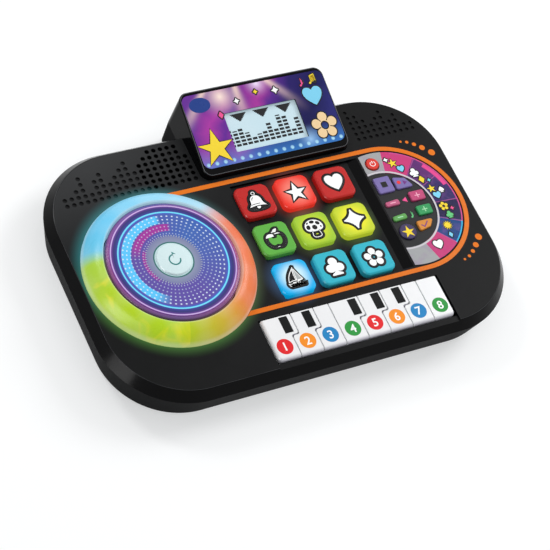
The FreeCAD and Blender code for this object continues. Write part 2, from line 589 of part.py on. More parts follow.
def dome_mat(label, level, sheet_boxes, places, wide_foot, tall):
    """A rubber sheet with one round dome under each button."""
    body = new_body(label)
    outline = new_sketch(body, "sheet_outline", level=level)
    for x, y, wide, deep in sheet_boxes:
        rounded_box(outline, x, y, wide, deep, 2.0)
    pad(body, outline, "sheet", "0.6")
    domes = new_sketch(body, "dome_outlines", level=level)
    for x, y in places:
        circle(domes, x, y, wide_foot)
    feature = pad(body, domes, "domes", "%f" % tall)
    feature.TaperAngle = -20 if wide_foot * 0.9 > tall * math.tan(math.radians(20)) else 0


def main_board():
    body = new_body("main_board")
    outline = new_sketch(body, "outline", level="Sizes.board_level")
    trace(outline, (-19.0, -40.5), [
        (112.0, -40.5), (122.5, -36.2, 127.0, -26.0), (127.0, 26.0), (122.5, 37.6, 112.0, 42.0),
        (-19.0, 42.0), (-19.0, -40.5)])
    pad(body, outline, "board", "Sizes.board_thick")
    chips = new_sketch(body, "chip_outlines", level="Sizes.board_level")
    for x, y, wide, deep in ((22.0, 0.5, 14.0, 14.0), (56.0, -22.0, 9.0, 6.0), (100.0, 0.0, 18.0, 8.0)):
        rounded_box(chips, x, y, wide, deep, 0.5)
    pad(body, chips, "chips", "2.0", reverse=True)


def key_places():
    """Left edge of each key's share of the keyboard."""
    return [size("keys_left") + number * size("key_pitch") for number in range(8)]


# Keys: levers on one shaft, each outline stepping round the dark bar printed beside its neighbour
def keys():
    gap, jog = size("key_gap"), size("key_jog")
    pitch = size("key_pitch")
    back, front = size("key_back") - size("shaft_y"), size("key_front") - size("shaft_y")
    step_y = size("key_jog_y") - size("shaft_y")
    top = size("deck_level") + size("key_rise") - size("shaft_z")
    low = top - size("key_tall")
    bend = 1.5
    turn = bend * (1 - math.sqrt(0.5))
    for number in range(8):
        body = new_body("key_%d" % (number + 1), "Sizes.keys_left + %d * Sizes.key_pitch" % number,
                        "Sizes.shaft_y", "Sizes.shaft_z")
        steps_left = number > 0 and KEY_HAS_BLACK[number - 1]
        steps_right = KEY_HAS_BLACK[number]
        left, right = gap / 2, pitch - gap / 2
        outline = new_sketch(body, "outline", level="%f" % low)
        path = []
        if steps_right:
            rise = step_y + gap / 2
            path += [(right, rise - bend), (right + turn, rise - turn, right + bend, rise),
                     (right + jog - bend, rise), (right + jog - turn, rise + turn, right + jog, rise + bend),
                     (right + jog, back)]
        else:
            path += [(right, back)]
        if steps_left:
            rise = step_y - gap / 2
            path += [(left + jog, back), (left + jog, rise + bend),
                     (left + jog - turn, rise + turn, left + jog - bend, rise),
                     (left + bend, rise), (left + turn, rise - turn, left, rise - bend)]
        else:
            path += [(left, back)]
        nose = size("key_nose")
        outer_left, outer_right = number == 0, number == 7
        outer_round = 3.0
        corner = outer_round * (1 - math.sqrt(0.5))
        start = (left, front + outer_round) if outer_left else (left, front)
        front_path = []
        if outer_left:
            front_path.append((left + corner, front + corner, left + outer_round, front))
        if outer_right:
            front_path.append((right - outer_round, front))
            front_path.append((right - corner, front + corner, right, front + outer_round))
        else:
            front_path.append((right, front))
        trace(outline, start, front_path + path + [start])
        block = pad(body, outline, "block", "Sizes.key_tall")

        def nose_edge(edge, left_side=outer_left, right_side=outer_right):
            if not flat_at(edge, top):
                return False
            box = edge.BoundBox
            if box.YMax < front + 3.1:
                return True
            if left_side and box.XMax < left + 0.01:
                return True
            return right_side and box.XMin > right - 0.01
        fillet(body, block, "nose", "Sizes.key_nose", nose_edge)
        inside = new_sketch(body, "inside_outline", level="%f" % low)
        inside_left = left + (jog if steps_left else 0) + 1.6
        inside_right = right - 1.6
        rounded_box(inside, (inside_left + inside_right) / 2, (front + back) / 2,
                    inside_right - inside_left, back - front - 3.6, 0.6)
        pocket(body, inside, "inside", "Sizes.key_tall - 1.7", reverse=True)
        stem = new_sketch(body, "stem_outline", level="-0.7")
        circle(stem, (inside_left + inside_right) / 2, -22.5, 1.8)
        pad(body, stem, "stem", "%f" % (top - 1.0 + 0.7))
        arm = new_sketch(body, "arm_section", "YZ_Plane",
                         "%f" % (left + (jog if steps_left else 0) + 0.8))
        trace(arm, (back - 4.0, low + 0.4), [
            (back - 4.0, 0.0), (-2.0, -1.2), (0, -1.2), (0, low + 0.4), (back - 4.0, low + 0.4)])
        pad(body, arm, "arm", "%f" % (pitch - 1.6 - (left + (jog if steps_left else 0) + 0.8)))
        barrel = new_sketch(body, "barrel_section", "YZ_Plane", "1.2")
        circle(barrel, 0, 0, 2.8)
        pad(body, barrel, "barrel", "Sizes.key_pitch - 2.4")
        bore = new_sketch(body, "bore_section", "YZ_Plane", "Sizes.key_pitch")
        circle(bore, 0, 0, size("barrel_bore"), "Sizes.barrel_bore")
        pocket(body, bore, "bore", "Sizes.key_pitch")


def key_shaft():
    body = new_body("key_shaft", "Sizes.keys_left - 1", "Sizes.shaft_y", "Sizes.shaft_z")
    section = new_sketch(body, "section", "YZ_Plane")
    circle(section, 0, 0, size("shaft_round"), "Sizes.shaft_round")
    pad(body, section, "shaft", "8 * Sizes.key_pitch + 2")


def key_board():
    body = new_body("key_board")
    middle = size("keys_left") + 4 * size("key_pitch")
    outline = new_sketch(body, "outline", level="Sizes.key_board_level")
    rounded_box(outline, middle, -68.0, 8 * size("key_pitch") - 2, 20.0, 1.0)
    pad(body, outline, "board", "Sizes.board_thick")


# Control panel: half-round plate with nine small buttons, each outline listed once for cap and hole
def button_outlines():
    """Name, then a circle (x, y, radius) or the corner points of a cap, anticlockwise."""
    return {
        "button_power": (81.3, 35.3, 4.3),
        "button_stop": ((75.8, 12.8), (87.2, 12.8), (87.2, 24.6), (75.8, 24.6)),
        "button_record": ((88.9, 13.2), (101.0, 13.2), (97.4, 20.4), (88.9, 22.6)),
        "button_volume_down": ((75.8, 2.6), (85.7, 2.6), (85.7, 6.8), (75.8, 6.0)),
        "button_volume_up": ((94.4, 2.5), (104.6, 2.5), (105.2, 9.6), (94.4, 9.6)),
        "button_tempo_down": ((75.8, -8.6), (85.5, -8.2), (85.5, -4.2), (75.8, -5.0)),
        "button_tempo_up": ((94.3, -8.4), (104.4, -8.4), (105.0, -1.5), (94.3, -1.5)),
        "button_ok": ((89.5, -19.2), (97.6, -17.6), (102.0, -12.0), (89.5, -12.0)),
        "button_style": (80.9, -17.4, 5.6),
    }


def grown(points, spare):
    """Corner points moved outwards by a margin along both neighbouring sides."""
    result = []
    count = len(points)
    for number in range(count):
        before, here, after = points[number - 1], points[number], points[(number + 1) % count]
        first = FreeCAD.Vector(here[0] - before[0], here[1] - before[1], 0).normalize()
        second = FreeCAD.Vector(after[0] - here[0], after[1] - here[1], 0).normalize()
        normal_first = FreeCAD.Vector(first.y, -first.x, 0)
        normal_second = FreeCAD.Vector(second.y, -second.x, 0)
        both = normal_first + normal_second
        reach = both * (spare / (1 + normal_first.dot(normal_second)))
        result.append((here[0] + reach.x, here[1] + reach.y))
    return result


def soft_polygon(sketch, points, radius):
    """A polygon whose corners are rounded by tangent arcs."""
    count = len(points)
    path = []
    start = None
    for number in range(count):
        before, here, after = points[number - 1], points[number], points[(number + 1) % count]
        into = FreeCAD.Vector(before[0] - here[0], before[1] - here[1], 0).normalize()
        out = FreeCAD.Vector(after[0] - here[0], after[1] - here[1], 0).normalize()
        half = into.getAngle(out) / 2
        back = radius / math.tan(half)
        corner = FreeCAD.Vector(here[0], here[1], 0)
        begin, end = corner + into * back, corner + out * back
        centre = corner + (into + out).normalize() * (radius / math.sin(half))
        middle = centre + (corner - centre).normalize() * radius
        if start is None:
            start = (begin.x, begin.y)
        else:
            path.append((begin.x, begin.y))
        path.append((middle.x, middle.y, end.x, end.y))
    path.append(start)
    trace(sketch, start, path)


def button_outline(sketch, outline, spare, corner):
    """A cap's outline, grown by a margin."""
    if len(outline) == 3:
        circle(sketch, outline[0], outline[1], outline[2] + spare)
    else:
        soft_polygon(sketch, grown(outline, spare), corner + spare)


def button_middle(outline):
    """Middle of a cap."""
    if len(outline) == 3:
        return outline[0], outline[1]
    count = len(outline)
    return sum(point[0] for point in outline) / count, sum(point[1] for point in outline) / count


def control_panel():
    body = new_body("control_panel")
    level = "Sizes.deck_level - Sizes.panel_drop - Sizes.panel_thick"
    outline = new_sketch(body, "outline", level=level)
    bow_outline(outline, size("panel_left"), size("panel_round"))
    pad(body, outline, "plate", "Sizes.panel_thick")
    holes = new_sketch(body, "button_holes", level="Sizes.deck_level")
    for outline in button_outlines().values():
        button_outline(holes, outline, 0.25, 1.2)
    pocket(body, holes, "holes", "4")


def activity_strip():
    body = new_body("activity_strip")
    sketch = new_sketch(body, "outline", level="Sizes.deck_level - Sizes.panel_drop")
    left, outer, inner = size("panel_left") + 0.2, size("panel_round") - 0.2, size("inner_round")
    x, y = size("bow_x"), size("bow_y")
    inner_x, inner_y = size("inner_x"), size("inner_y")
    high = math.sqrt(outer ** 2 - (x - left) ** 2)
    inside = math.sqrt(inner ** 2 - (inner_x - left) ** 2)
    trace(sketch, (left, y - high), [
        (x + outer, y, left, y + high), (left, inner_y + inside),
        (inner_x + inner, inner_y, left, inner_y - inside), (left, y - high)])
    circle(sketch, 81.3, 35.3, 4.9)
    pad(body, sketch, "strip", "Sizes.strip_thick")


def control_buttons():
    for label, outline in button_outlines().items():
        body = new_body(label, z="Sizes.deck_level")
        top = size("button_rise")
        cap_sketch = new_sketch(body, "cap_outline", level="-3.6")
        button_outline(cap_sketch, outline, 0, 1.2)
        cap = pad(body, cap_sketch, "cap", "3.6 + Sizes.button_rise")
        chamfer(body, cap, "soft_edge", "0.4", lambda edge: flat_at(edge, top))
        flange = new_sketch(body, "flange_outline", level="-3.6")
        button_outline(flange, outline, 0.55, 1.2)
        pad(body, flange, "flange", "1.1")
        stem = new_sketch(body, "stem_outline", level="Sizes.board_level + Sizes.board_thick"
                          " + 1.2 + Sizes.button_travel - Sizes.deck_level")
        middle = button_middle(outline)
        circle(stem, middle[0], middle[1], 1.6)
        pad(body, stem, "stem", "5.0")


# Pod: tilted box with drafted sides that hangs over the back edge
def pod_housing():
    body = new_body("pod_housing", "Sizes.pod_x")
    front, back, seam = size("pod_front"), size("pod_back"), size("seam_level")
    face_y, face_z = size("pod_face_y"), size("pod_face_z")
    tilt = math.radians(size("pod_tilt"))
    slope = math.tan(tilt)
    low_z, top_z = face_z + (front - face_y) * slope, face_z + (back - face_y) * slope
    half = size("pod_half_seam")
    section = new_sketch(body, "side_section", "YZ_Plane", "-Sizes.pod_half_seam")
    trace(section, (front, seam), [
        (back, seam), (back, top_z), (front, low_z), (front, seam)])
    pad(body, section, "block", "2 * Sizes.pod_half_seam")
    lean = (half - size("pod_half_top")) / POD_SIDE_TALL
    sides = new_sketch(body, "side_drafts", "XZ_Plane", "-Sizes.pod_front + 2")
    high = top_z + 2
    for side in (-1, 1):
        inward = half - lean * (high - seam)
        trace(sides, (side * half, seam), [
            (side * (half + 3), seam), (side * (half + 3), high), (side * inward, high),
            (side * half, seam)])
    drafted = pocket(body, sides, "drafts", "70")

    def corner_edge(edge):
        box = edge.BoundBox
        return box.ZLength > 10 and box.YLength < 3.5

    corners = fillet(body, drafted, "corners", "Sizes.pod_corner", corner_edge)

    def face_edge(edge):
        return edge.BoundBox.ZMin > low_z - 0.1

    fillet(body, corners, "face_edge", "1.4", face_edge)
    wall = size("pod_wall")
    inside_half = size("pod_half_top") - wall
    inside = new_sketch(body, "inside_section", "YZ_Plane", "%f" % inside_half)
    under_front = face_z + (front + wall - face_y) * slope - wall / math.cos(tilt)
    under_back = face_z + (back - wall - face_y) * slope - wall / math.cos(tilt)
    trace(inside, (front + wall, seam - 1), [
        (back - wall, seam - 1), (back - wall, under_back), (front + wall, under_front),
        (front + wall, seam - 1)])
    pocket(body, inside, "inside", "%f" % (2 * inside_half))
    rebate = slanted_sketch(body, "art_rebate", 0)
    rounded_box(rebate, 0, size("art_low") + size("art_tall") / 2, size("art_wide"),
                size("art_tall"), 5.0, ("Sizes.art_wide", "Sizes.art_tall", "5"))
    pocket(body, rebate, "rebate", "0.8")
    window = slanted_sketch(body, "window_outline", 0)
    rounded_box(window, 0, size("window_middle"), size("window_wide") + 0.6,
                size("window_tall") + 0.6, 1.0,
                ("Sizes.window_wide + 0.6", "Sizes.window_tall + 0.6", "1"))
    pocket(body, window, "window", "4")


def slanted_sketch(body, name, lift):
    """A sketch in the plane of the pod's face, its origin in the middle of the face's low edge."""
    sketch = body.newObject("Sketcher::SketchObject", name)
    plane = [item for item in body.Origin.OriginFeatures if item.Role == "XY_Plane"][0]
    sketch.AttachmentSupport = [(plane, "")]
    sketch.MapMode = "FlatFace"
    tilt = math.radians(size("pod_tilt"))
    base = FreeCAD.Vector(0, size("pod_face_y") - lift * math.sin(tilt),
                          size("pod_face_z") + lift * math.cos(tilt))
    turn = FreeCAD.Rotation(FreeCAD.Vector(1, 0, 0), size("pod_tilt"))
    sketch.AttachmentOffset = FreeCAD.Placement(base, turn)
    return sketch


def slanted_plate(label, lift, wide, deep, middle, corner, thick, hole=None):
    """A flat piece parallel to the pod's face, its upper side that far from the face."""
    body = new_body(label, "Sizes.pod_x")
    outline = slanted_sketch(body, "outline", lift)
    rounded_box(outline, 0, middle, wide, deep, corner)
    if hole:
        rounded_box(outline, 0, hole[2], hole[0], hole[1], 0.8)
    pad(body, outline, "plate", "%f" % thick, reverse=True)


def pod_contents():
    middle = size("window_middle")
    slanted_plate("pod_label", -0.1, size("art_wide") - 0.3, size("art_tall") - 0.3,
                  size("art_low") + size("art_tall") / 2, 4.8, 0.7,
                  (size("window_wide"), size("window_tall"), middle))
    wall = size("pod_wall")
    slanted_plate("lcd_panel", -wall, size("window_wide") + 6, size("window_tall") + 6, middle, 0.6, 2.8)
    slanted_plate("lcd_board", -wall - 2.8, size("window_wide") + 16, size("window_tall") + 12, middle,
                  1.0, 1.6)


# Speaker: pressed frame, paper cone and magnet, one above the other under the grille
def speaker():
    place = ("Sizes.speaker_x", "Sizes.speaker_y")
    rim = size("speaker_round")
    frame = new_body("speaker_frame", *place)
    sketch = new_sketch(frame, "section", "XZ_Plane")
    trace(sketch, (rim, 25.4), [
        (rim, 26.6), (rim - 1.6, 26.6), (rim - 1.6, 25.6), (8.8, 19.4), (5.6, 19.4), (5.6, 18.2),
        (9.4, 18.2), (rim - 0.6, 24.6), (rim, 25.4)])
    revolve(frame, sketch, "frame")
    cone = new_body("speaker_cone", *place)
    sketch = new_sketch(cone, "section", "XZ_Plane")
    trace(sketch, (0, 20.8), [
        (2.0, 20.8), (rim - 2.4, 25.4), (rim - 2.4, 26.2), (5.0, 23.4), (1.5, 24.4), (0, 24.4), (0, 20.8)])
    revolve(cone, sketch, "cone")
    magnet = new_body("speaker_magnet", *place)
    sketch = new_sketch(magnet, "section", "XZ_Plane")
    trace(sketch, (0, 10.6), [
        (8.4, 10.6), (9.0, 11.2), (9.0, 18.1), (5.4, 18.1), (5.4, 19.2), (0, 19.2), (0, 10.6)])
    revolve(magnet, sketch, "magnet")


# Power: three cells side by side behind a door in the floor, held by one screw
def power():
    rows = (62.0, 77.4, 92.8)
    radius, long = size("cell_round"), size("cell_long")
    for number, y in enumerate(rows):
        body = new_body("battery_%d" % (number + 1), "Sizes.pod_x", "%f" % y, "Sizes.cell_level")
        sketch = new_sketch(body, "section", "XZ_Plane")
        half = long / 2
        trace(sketch, (-half, 0), [
            (-half, radius - 0.6), (-half + 0.6, radius), (half - 0.6, radius), (half, radius - 0.6),
            (half, 2.7), (half + 1.2, 2.7), (half + 1.2, 0), (-half, 0)])
        feature = body.newObject("PartDesign::Revolution", "cell")
        feature.Profile = sketch
        feature.ReferenceAxis = (sketch, ["H_Axis"])
        feature.Angle = 360
    contacts = new_body("battery_contacts", "Sizes.pod_x", z="Sizes.cell_level")
    sketch = new_sketch(contacts, "outlines", level="-5")
    for y in rows:
        for side in (-1, 1):
            rounded_box(sketch, side * (long / 2 + 1.6), y, 0.5, 9.0, 0.1)
    pad(contacts, sketch, "plates", "10")
    door = new_body("battery_door", "Sizes.pod_x + 5", "Sizes.door_y", "Sizes.floor_level")
    outline = new_sketch(door, "outline")
    rounded_box(outline, 0, 0, size("door_wide"), size("door_deep"), 2.3,
                ("Sizes.door_wide", "Sizes.door_deep", "2.3"))
    pad(door, outline, "plate", "Sizes.door_thick")
    raised = new_sketch(door, "inner_outline", level="Sizes.door_thick - 0.1")
    rounded_box(raised, -5, 0, 56.6, 43.6, 1.3)
    pad(door, raised, "inner_plate", "0.7")
    grips = new_sketch(door, "grip_outlines")
    for number in range(5):
        rounded_box(grips, -10 - 3.0 * number, 0, 1.2, 16.0, 0.4)
    pocket(door, grips, "grips", "0.5", reverse=True)
    hole = new_sketch(door, "screw_hole")
    circle(hole, size("door_screw_x") - 5, 0, 2.9)
    pocket(door, hole, "head_sink", "0.8", reverse=True)
    hole = new_sketch(door, "shank_hole")
    circle(hole, size("door_screw_x") - 5, 0, 1.5)
    pocket(door, hole, "hole", "3", reverse=True)
    screw = new_body("battery_screw", "Sizes.pod_x + Sizes.door_screw_x", "Sizes.door_y",
                     "Sizes.floor_level")
    sketch = new_sketch(screw, "section", "XZ_Plane")
    trace(sketch, (0, 0.1), [(2.2, 0.1), (2.7, 0.6), (2.7, 0.8), (1.15, 0.8), (1.15, 7.0), (0, 7.0),
                             (0, 0.1)])
    revolve(screw, sketch, "screw")


def case_screws():
    body = new_body("case_screws")
    heads = new_sketch(body, "heads", level="Sizes.floor_level + 3.2")
    for x, y in SCREW_PLACES:
        circle(heads, x, y, 2.7)
    pad(body, heads, "head_pad", "1.8")
    shanks = new_sketch(body, "shanks", level="Sizes.floor_level + 4.0")
    for x, y in SCREW_PLACES:
        circle(shanks, x, y, 1.15)
    pad(body, shanks, "shank_pad", "17")


def feet():
    body = new_body("feet")
    outline = new_sketch(body, "outline")
    for x, y in FOOT_PLACES:
        circle(outline, x, y, size("foot_round"), "Sizes.foot_round")
    pad(body, outline, "pads", "Sizes.foot_thick")


bottom_shell()
top_shell()
trim_stripe()
turntable_base()
light_ring()
light_board()
platter()
platter_label()
platter_cap()
pads()
pad_middles = [(size("pad_first_x") + (number % 3) * size("pad_pitch_x"),
                size("pad_first_y") - (number // 3) * size("pad_pitch_y")) for number in range(9)]
dome_mat("pad_mat", "Sizes.board_level + Sizes.board_thick",
         [(size("pad_first_x") + size("pad_pitch_x"), -0.6, 82.0, 80.0)], pad_middles, 4.5, 1.5)
main_board()
keys()
key_shaft()
key_board()
key_middles = [(left + size("key_pitch") / 2 + 1.0, -70.0) for left in key_places()]
dome_mat("key_mat", "Sizes.key_board_level + Sizes.board_thick",
         [(size("keys_left") + 4 * size("key_pitch"), -70.0, 8 * size("key_pitch") - 4, 14.0)],
         key_middles, 3.4, 3.2)
control_panel()
activity_strip()
control_buttons()
dome_mat("button_mat", "Sizes.board_level + Sizes.board_thick", [(92.0, 5.0, 40.0, 68.0)],
         [button_middle(outline) for outline in button_outlines().values()], 2.4, 1.0)
pod_housing()
pod_contents()
speaker()
power()
case_screws()
feet()
doc.recompute()

# Every feature and every finished piece is looked at before anything is written
failed = [item.Label for item in doc.Objects if "Invalid" in item.State or "Error" in item.State]
if failed:
    raise RuntimeError("failed features: %s" % failed)
for node in NODES:
    if node.Shape.isNull() or not node.Shape.isValid() or not node.Shape.Solids:
        raise RuntimeError("bad shape: %s" % node.Label)
os.makedirs("parts", exist_ok=True)
for node in NODES:
    node.Shape.exportStep("parts/%s.step" % node.Label)
    print(node.Label, len(node.Shape.Solids), round(node.Shape.Volume, 1))
print("nodes", len(NODES))
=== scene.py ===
import math

import bpy
from mathutils import Matrix, Vector


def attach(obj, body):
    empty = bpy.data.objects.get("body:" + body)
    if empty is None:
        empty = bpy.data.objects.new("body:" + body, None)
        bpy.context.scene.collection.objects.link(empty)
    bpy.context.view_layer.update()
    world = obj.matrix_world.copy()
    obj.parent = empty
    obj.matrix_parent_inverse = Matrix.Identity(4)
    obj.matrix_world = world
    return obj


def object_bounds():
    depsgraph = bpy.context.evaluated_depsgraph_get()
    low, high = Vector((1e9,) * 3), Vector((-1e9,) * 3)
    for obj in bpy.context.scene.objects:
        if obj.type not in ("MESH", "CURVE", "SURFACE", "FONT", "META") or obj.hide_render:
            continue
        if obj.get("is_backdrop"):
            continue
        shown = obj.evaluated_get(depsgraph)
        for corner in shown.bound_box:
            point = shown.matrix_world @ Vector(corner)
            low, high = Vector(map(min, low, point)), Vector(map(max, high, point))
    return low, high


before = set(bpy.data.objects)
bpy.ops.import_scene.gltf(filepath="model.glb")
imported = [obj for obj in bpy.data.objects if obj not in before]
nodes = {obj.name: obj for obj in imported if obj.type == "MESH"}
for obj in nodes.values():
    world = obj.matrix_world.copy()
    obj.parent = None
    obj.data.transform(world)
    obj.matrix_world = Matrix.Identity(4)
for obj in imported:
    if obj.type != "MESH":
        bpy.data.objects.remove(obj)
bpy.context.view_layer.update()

# Top shell: one injection moulding in near-black ABS. Its flat deck has a fine spark-eroded grain and
# the skirt below its edge is polished. The ring's light spills on to the deck round it, and five pad
# printed orange dots run out from each end of the control panel.

# Values that hold MM are in metres and the other sizes in mm, at the places of the CAD nodes.
MM = 0.001
BACK = -8.4 * MM
DISC = (-78.2 * MM, -3.2 * MM + BACK, 0)
BOW = (83.4 * MM, 0.9 * MM + BACK, 0)
PAD_X = (-6.5, 21.5, 49.5)
PAD_Y = (27.9 + BACK / MM, -0.6 + BACK / MM, -29.1 + BACK / MM)
DECK_FACING, SHOULDER_FACING = 0.965, 0.86
SHOULDER_TOP = 24.6 * MM
PITCH_X, PITCH_Y = 4.5, 4.27
GRILLE_COLUMNS, GRILLE_ROWS = 20, 10
DRILLED_FROM = 12.0
NOTHING = (0, 0, 0)
FULL = (1, 1, 1)
ORANGE = (0.82, 0.195, 0.016, 1)


def put(tree, kind, settings=None, **sockets):
    """A node with its settings, and its sockets given as values or links."""
    made = tree.nodes.new(kind)
    for key, value in (settings or {}).items():
        setattr(made, key, value)
    for key, value in sockets.items():
        socket = made.inputs[int(key[1:]) if key[1:].isdigit() else key.replace("_", " ")]
        if isinstance(value, bpy.types.NodeSocket):
            tree.links.new(value, socket)
        else:
            socket.default_value = value
    return made


def maths(tree, operation, first, second=0.0, third=0.0, clamp=False):
    """The result of one Math node."""
    settings = {"operation": operation, "use_clamp": clamp}
    return put(tree, "ShaderNodeMath", settings, i0=first, i1=second, i2=third).outputs[0]


def mix(tree, factor, first, second, way="MIX"):
    """The colour of one Mix node."""
    made = put(tree, "ShaderNodeMix", {"data_type": "RGBA", "blend_type": way}, i0=factor)
    for index, value in ((6, first), (7, second)):
        if isinstance(value, bpy.types.NodeSocket):
            tree.links.new(value, made.inputs[index])
        else:
            made.inputs[index].default_value = value
    return made.outputs[2]


def ramp(tree, factor, stops, way="LINEAR"):
    """A colour ramp with stops of (place, colour)."""
    made = put(tree, "ShaderNodeValToRGB", i0=factor)
    band = made.color_ramp
    band.interpolation = way
    while len(band.elements) < len(stops):
        band.elements.new(0.5)
    for element, (place, colour) in zip(band.elements, stops):
        element.position = place
        element.color = (*colour, 1)
    return made.outputs[0]


def material(name, **values):
    """A material with its Principled shader and Object coordinates."""
    made = bpy.data.materials.new(name)
    made.use_nodes = True
    tree = made.node_tree
    shader = tree.nodes["Principled BSDF"]
    for key, value in values.items():
        shader.inputs[key.replace("_", " ")].default_value = value
    place = tree.nodes.new("ShaderNodeTexCoord").outputs["Object"]
    return made, tree, shader, place


def group(name, inputs, outputs):
    """A node group with named sockets: (name, kind, value) in, (name, kind) out."""
    tree = bpy.data.node_groups.new(name, "ShaderNodeTree")
    for socket, kind, value in inputs:
        made = tree.interface.new_socket(socket, in_out="INPUT", socket_type="NodeSocket" + kind)
        made.default_value = value
    for socket, kind in outputs:
        tree.interface.new_socket(socket, in_out="OUTPUT", socket_type="NodeSocket" + kind)
    return tree, tree.nodes.new("NodeGroupInput").outputs, tree.nodes.new("NodeGroupOutput").inputs


def use(tree, made, **sockets):
    """One use of a node group."""
    return put(tree, "ShaderNodeGroup", {"node_tree": made}, **sockets).outputs


def feel(tree, shader, moulded, spread, least, bump=0.0, depth=0.0001, wave="Smear"):
    """Roughness that varies with the smears or clouds, and with a bump the grain as well."""
    rough = maths(tree, "MULTIPLY_ADD", moulded[wave], spread, least)
    tree.links.new(rough, shader.inputs["Roughness"])
    if bump:
        dents = put(tree, "ShaderNodeBump", Strength=bump, Distance=depth, Height=moulded["Height"])
        tree.links.new(dents.outputs[0], shader.inputs["Normal"])


def dress(names, made):
    """Gives CAD nodes one material."""
    for name in names:
        nodes[name].data.materials.clear()
        nodes[name].data.materials.append(made)


grain, into, out = group("moulded_grain", [("Place", "Vector", (0, 0, 0)), ("Size", "Float", 2200.0)],
                         [("Height", "Float"), ("Cloud", "Float"), ("Smear", "Float")])
fine = put(grain, "ShaderNodeTexNoise", Vector=into["Place"], Scale=into["Size"], Detail=2.0)
wide = put(grain, "ShaderNodeTexNoise", Vector=into["Place"], Scale=26.0, Detail=4.0, Roughness=0.6)
rubbed = put(grain, "ShaderNodeTexNoise", Vector=into["Place"], Scale=75.0, Detail=6.0, Roughness=0.7,
             Distortion=1.5)
grain.links.new(fine.outputs[0], out["Height"])
grain.links.new(wide.outputs[0], out["Cloud"])
grain.links.new(maths(grain, "SMOOTH_MIN", maths(grain, "MULTIPLY_ADD", rubbed.outputs[0], 3.0, -1.1,
                                                 clamp=True), 1.0, 0.1), out["Smear"])

spot, into, out = group("distance_from_point", [("Place", "Vector", (0, 0, 0)),
                                                ("Middle", "Vector", (0, 0, 0)),
                                                ("Near", "Float", 0.001), ("Far", "Float", 0.0012)],
                        [("Mask", "Float")])
away = put(spot, "ShaderNodeVectorMath", {"operation": "SUBTRACT"}, i0=into["Place"], i1=into["Middle"])
level = put(spot, "ShaderNodeVectorMath", {"operation": "MULTIPLY"}, i0=away.outputs[0], i1=(1, 1, 0))
far = put(spot, "ShaderNodeVectorMath", {"operation": "LENGTH"}, i0=level.outputs[0]).outputs["Value"]
near = put(spot, "ShaderNodeMapRange", Value=far, From_Min=into["Near"], From_Max=into["Far"],
           To_Min=1.0, To_Max=0.0).outputs[0]
spot.links.new(near, out["Mask"])

shell, tree, shader, place = material("shell_abs", IOR=1.5, Specular_IOR_Level=0.07)
moulded = use(tree, grain, Place=place)
axes = put(tree, "ShaderNodeSeparateXYZ", i0=place).outputs
facing = put(tree, "ShaderNodeSeparateXYZ", i0=tree.nodes.new("ShaderNodeNewGeometry").outputs["Normal"])
flat = maths(tree, "GREATER_THAN", facing.outputs[2], DECK_FACING)
high = maths(tree, "GREATER_THAN", axes[2], SHOULDER_TOP)
deck_mask = maths(tree, "MULTIPLY", flat, high)

# The deck is paler towards its back left corner, a painted sheen of light.
deck_colour = mix(tree, moulded["Cloud"], (0.0040, 0.0042, 0.0046, 1), (0.0105, 0.0108, 0.0114, 1))
to_back = maths(tree, "MULTIPLY_ADD", axes[1], 13.0, -0.05, clamp=True)
to_left = maths(tree, "MULTIPLY_ADD", axes[0], -10.0, 0.05, clamp=True)
deck_colour = mix(tree, maths(tree, "MULTIPLY", to_back, to_left), deck_colour, (0.048, 0.049, 0.051, 1))

# Each grille is given as its first hole, the radius of the dark rim round a hole, and how many holes
# stand in each column. The dark rims are painted shade that makes the holes read larger; those round
# the blind dimples, left of the drilled columns, are fainter.
GRILLES = (
    (-121.2, 53.9, 1.62, (2, 2, 3, 5, 2, 4, 5, 3, 4, 5, 6, 4, 5, 6, 7, 7, 7, 7, 7, 5)),
    (81.55, 55.4, 1.40, (6, 5, 4, 3, 4, 5, 3, 4, 2, 2)))
hole_shade = 0.0
for first_x, first_y, shade_radius, bars in GRILLES:
    start_x = (first_x - PITCH_X / 2) * MM
    start_y = (first_y - PITCH_Y / 2) * MM + BACK
    column = maths(tree, "DIVIDE", maths(tree, "SUBTRACT", axes[0], start_x), PITCH_X * MM)
    row = maths(tree, "DIVIDE", maths(tree, "SUBTRACT", axes[1], start_y), PITCH_Y * MM)
    off_x = maths(tree, "MULTIPLY", maths(tree, "SUBTRACT", maths(tree, "FRACT", column), 0.5), PITCH_X)
    off_y = maths(tree, "MULTIPLY", maths(tree, "SUBTRACT", maths(tree, "FRACT", row), 0.5), PITCH_Y)
    reach = maths(tree, "SQRT", maths(tree, "ADD", maths(tree, "MULTIPLY", off_x, off_x),
                                      maths(tree, "MULTIPLY", off_y, off_y)))
    steps = [(number / GRILLE_COLUMNS, (bar / GRILLE_ROWS,) * 3) for number, bar in enumerate(bars)]
    steps.append((len(bars) / GRILLE_COLUMNS, NOTHING))
    tops = ramp(tree, maths(tree, "DIVIDE", column, GRILLE_COLUMNS), steps, "CONSTANT")
    part_up = maths(tree, "MULTIPLY", row, 1 / GRILLE_ROWS)
    in_bar = maths(tree, "LESS_THAN", part_up, maths(tree, "ADD", tops, -0.001))
    in_bar = maths(tree, "MULTIPLY", in_bar, maths(tree, "GREATER_THAN", column, 0.0))
    in_bar = maths(tree, "MULTIPLY", in_bar, maths(tree, "GREATER_THAN", row, 0.0))
    rim = maths(tree, "MULTIPLY_ADD", reach, -8.0, shade_radius * 8.0, clamp=True)
    drilled = maths(tree, "MULTIPLY_ADD", maths(tree, "GREATER_THAN", column, DRILLED_FROM), 0.45, 0.55)
    rim = maths(tree, "MULTIPLY", rim, drilled)
    hole_shade = maths(tree, "MAXIMUM", maths(tree, "MULTIPLY", in_bar, rim), hole_shade)
deck_colour = mix(tree, hole_shade, deck_colour, (0.0012, 0.0012, 0.0014, 1))
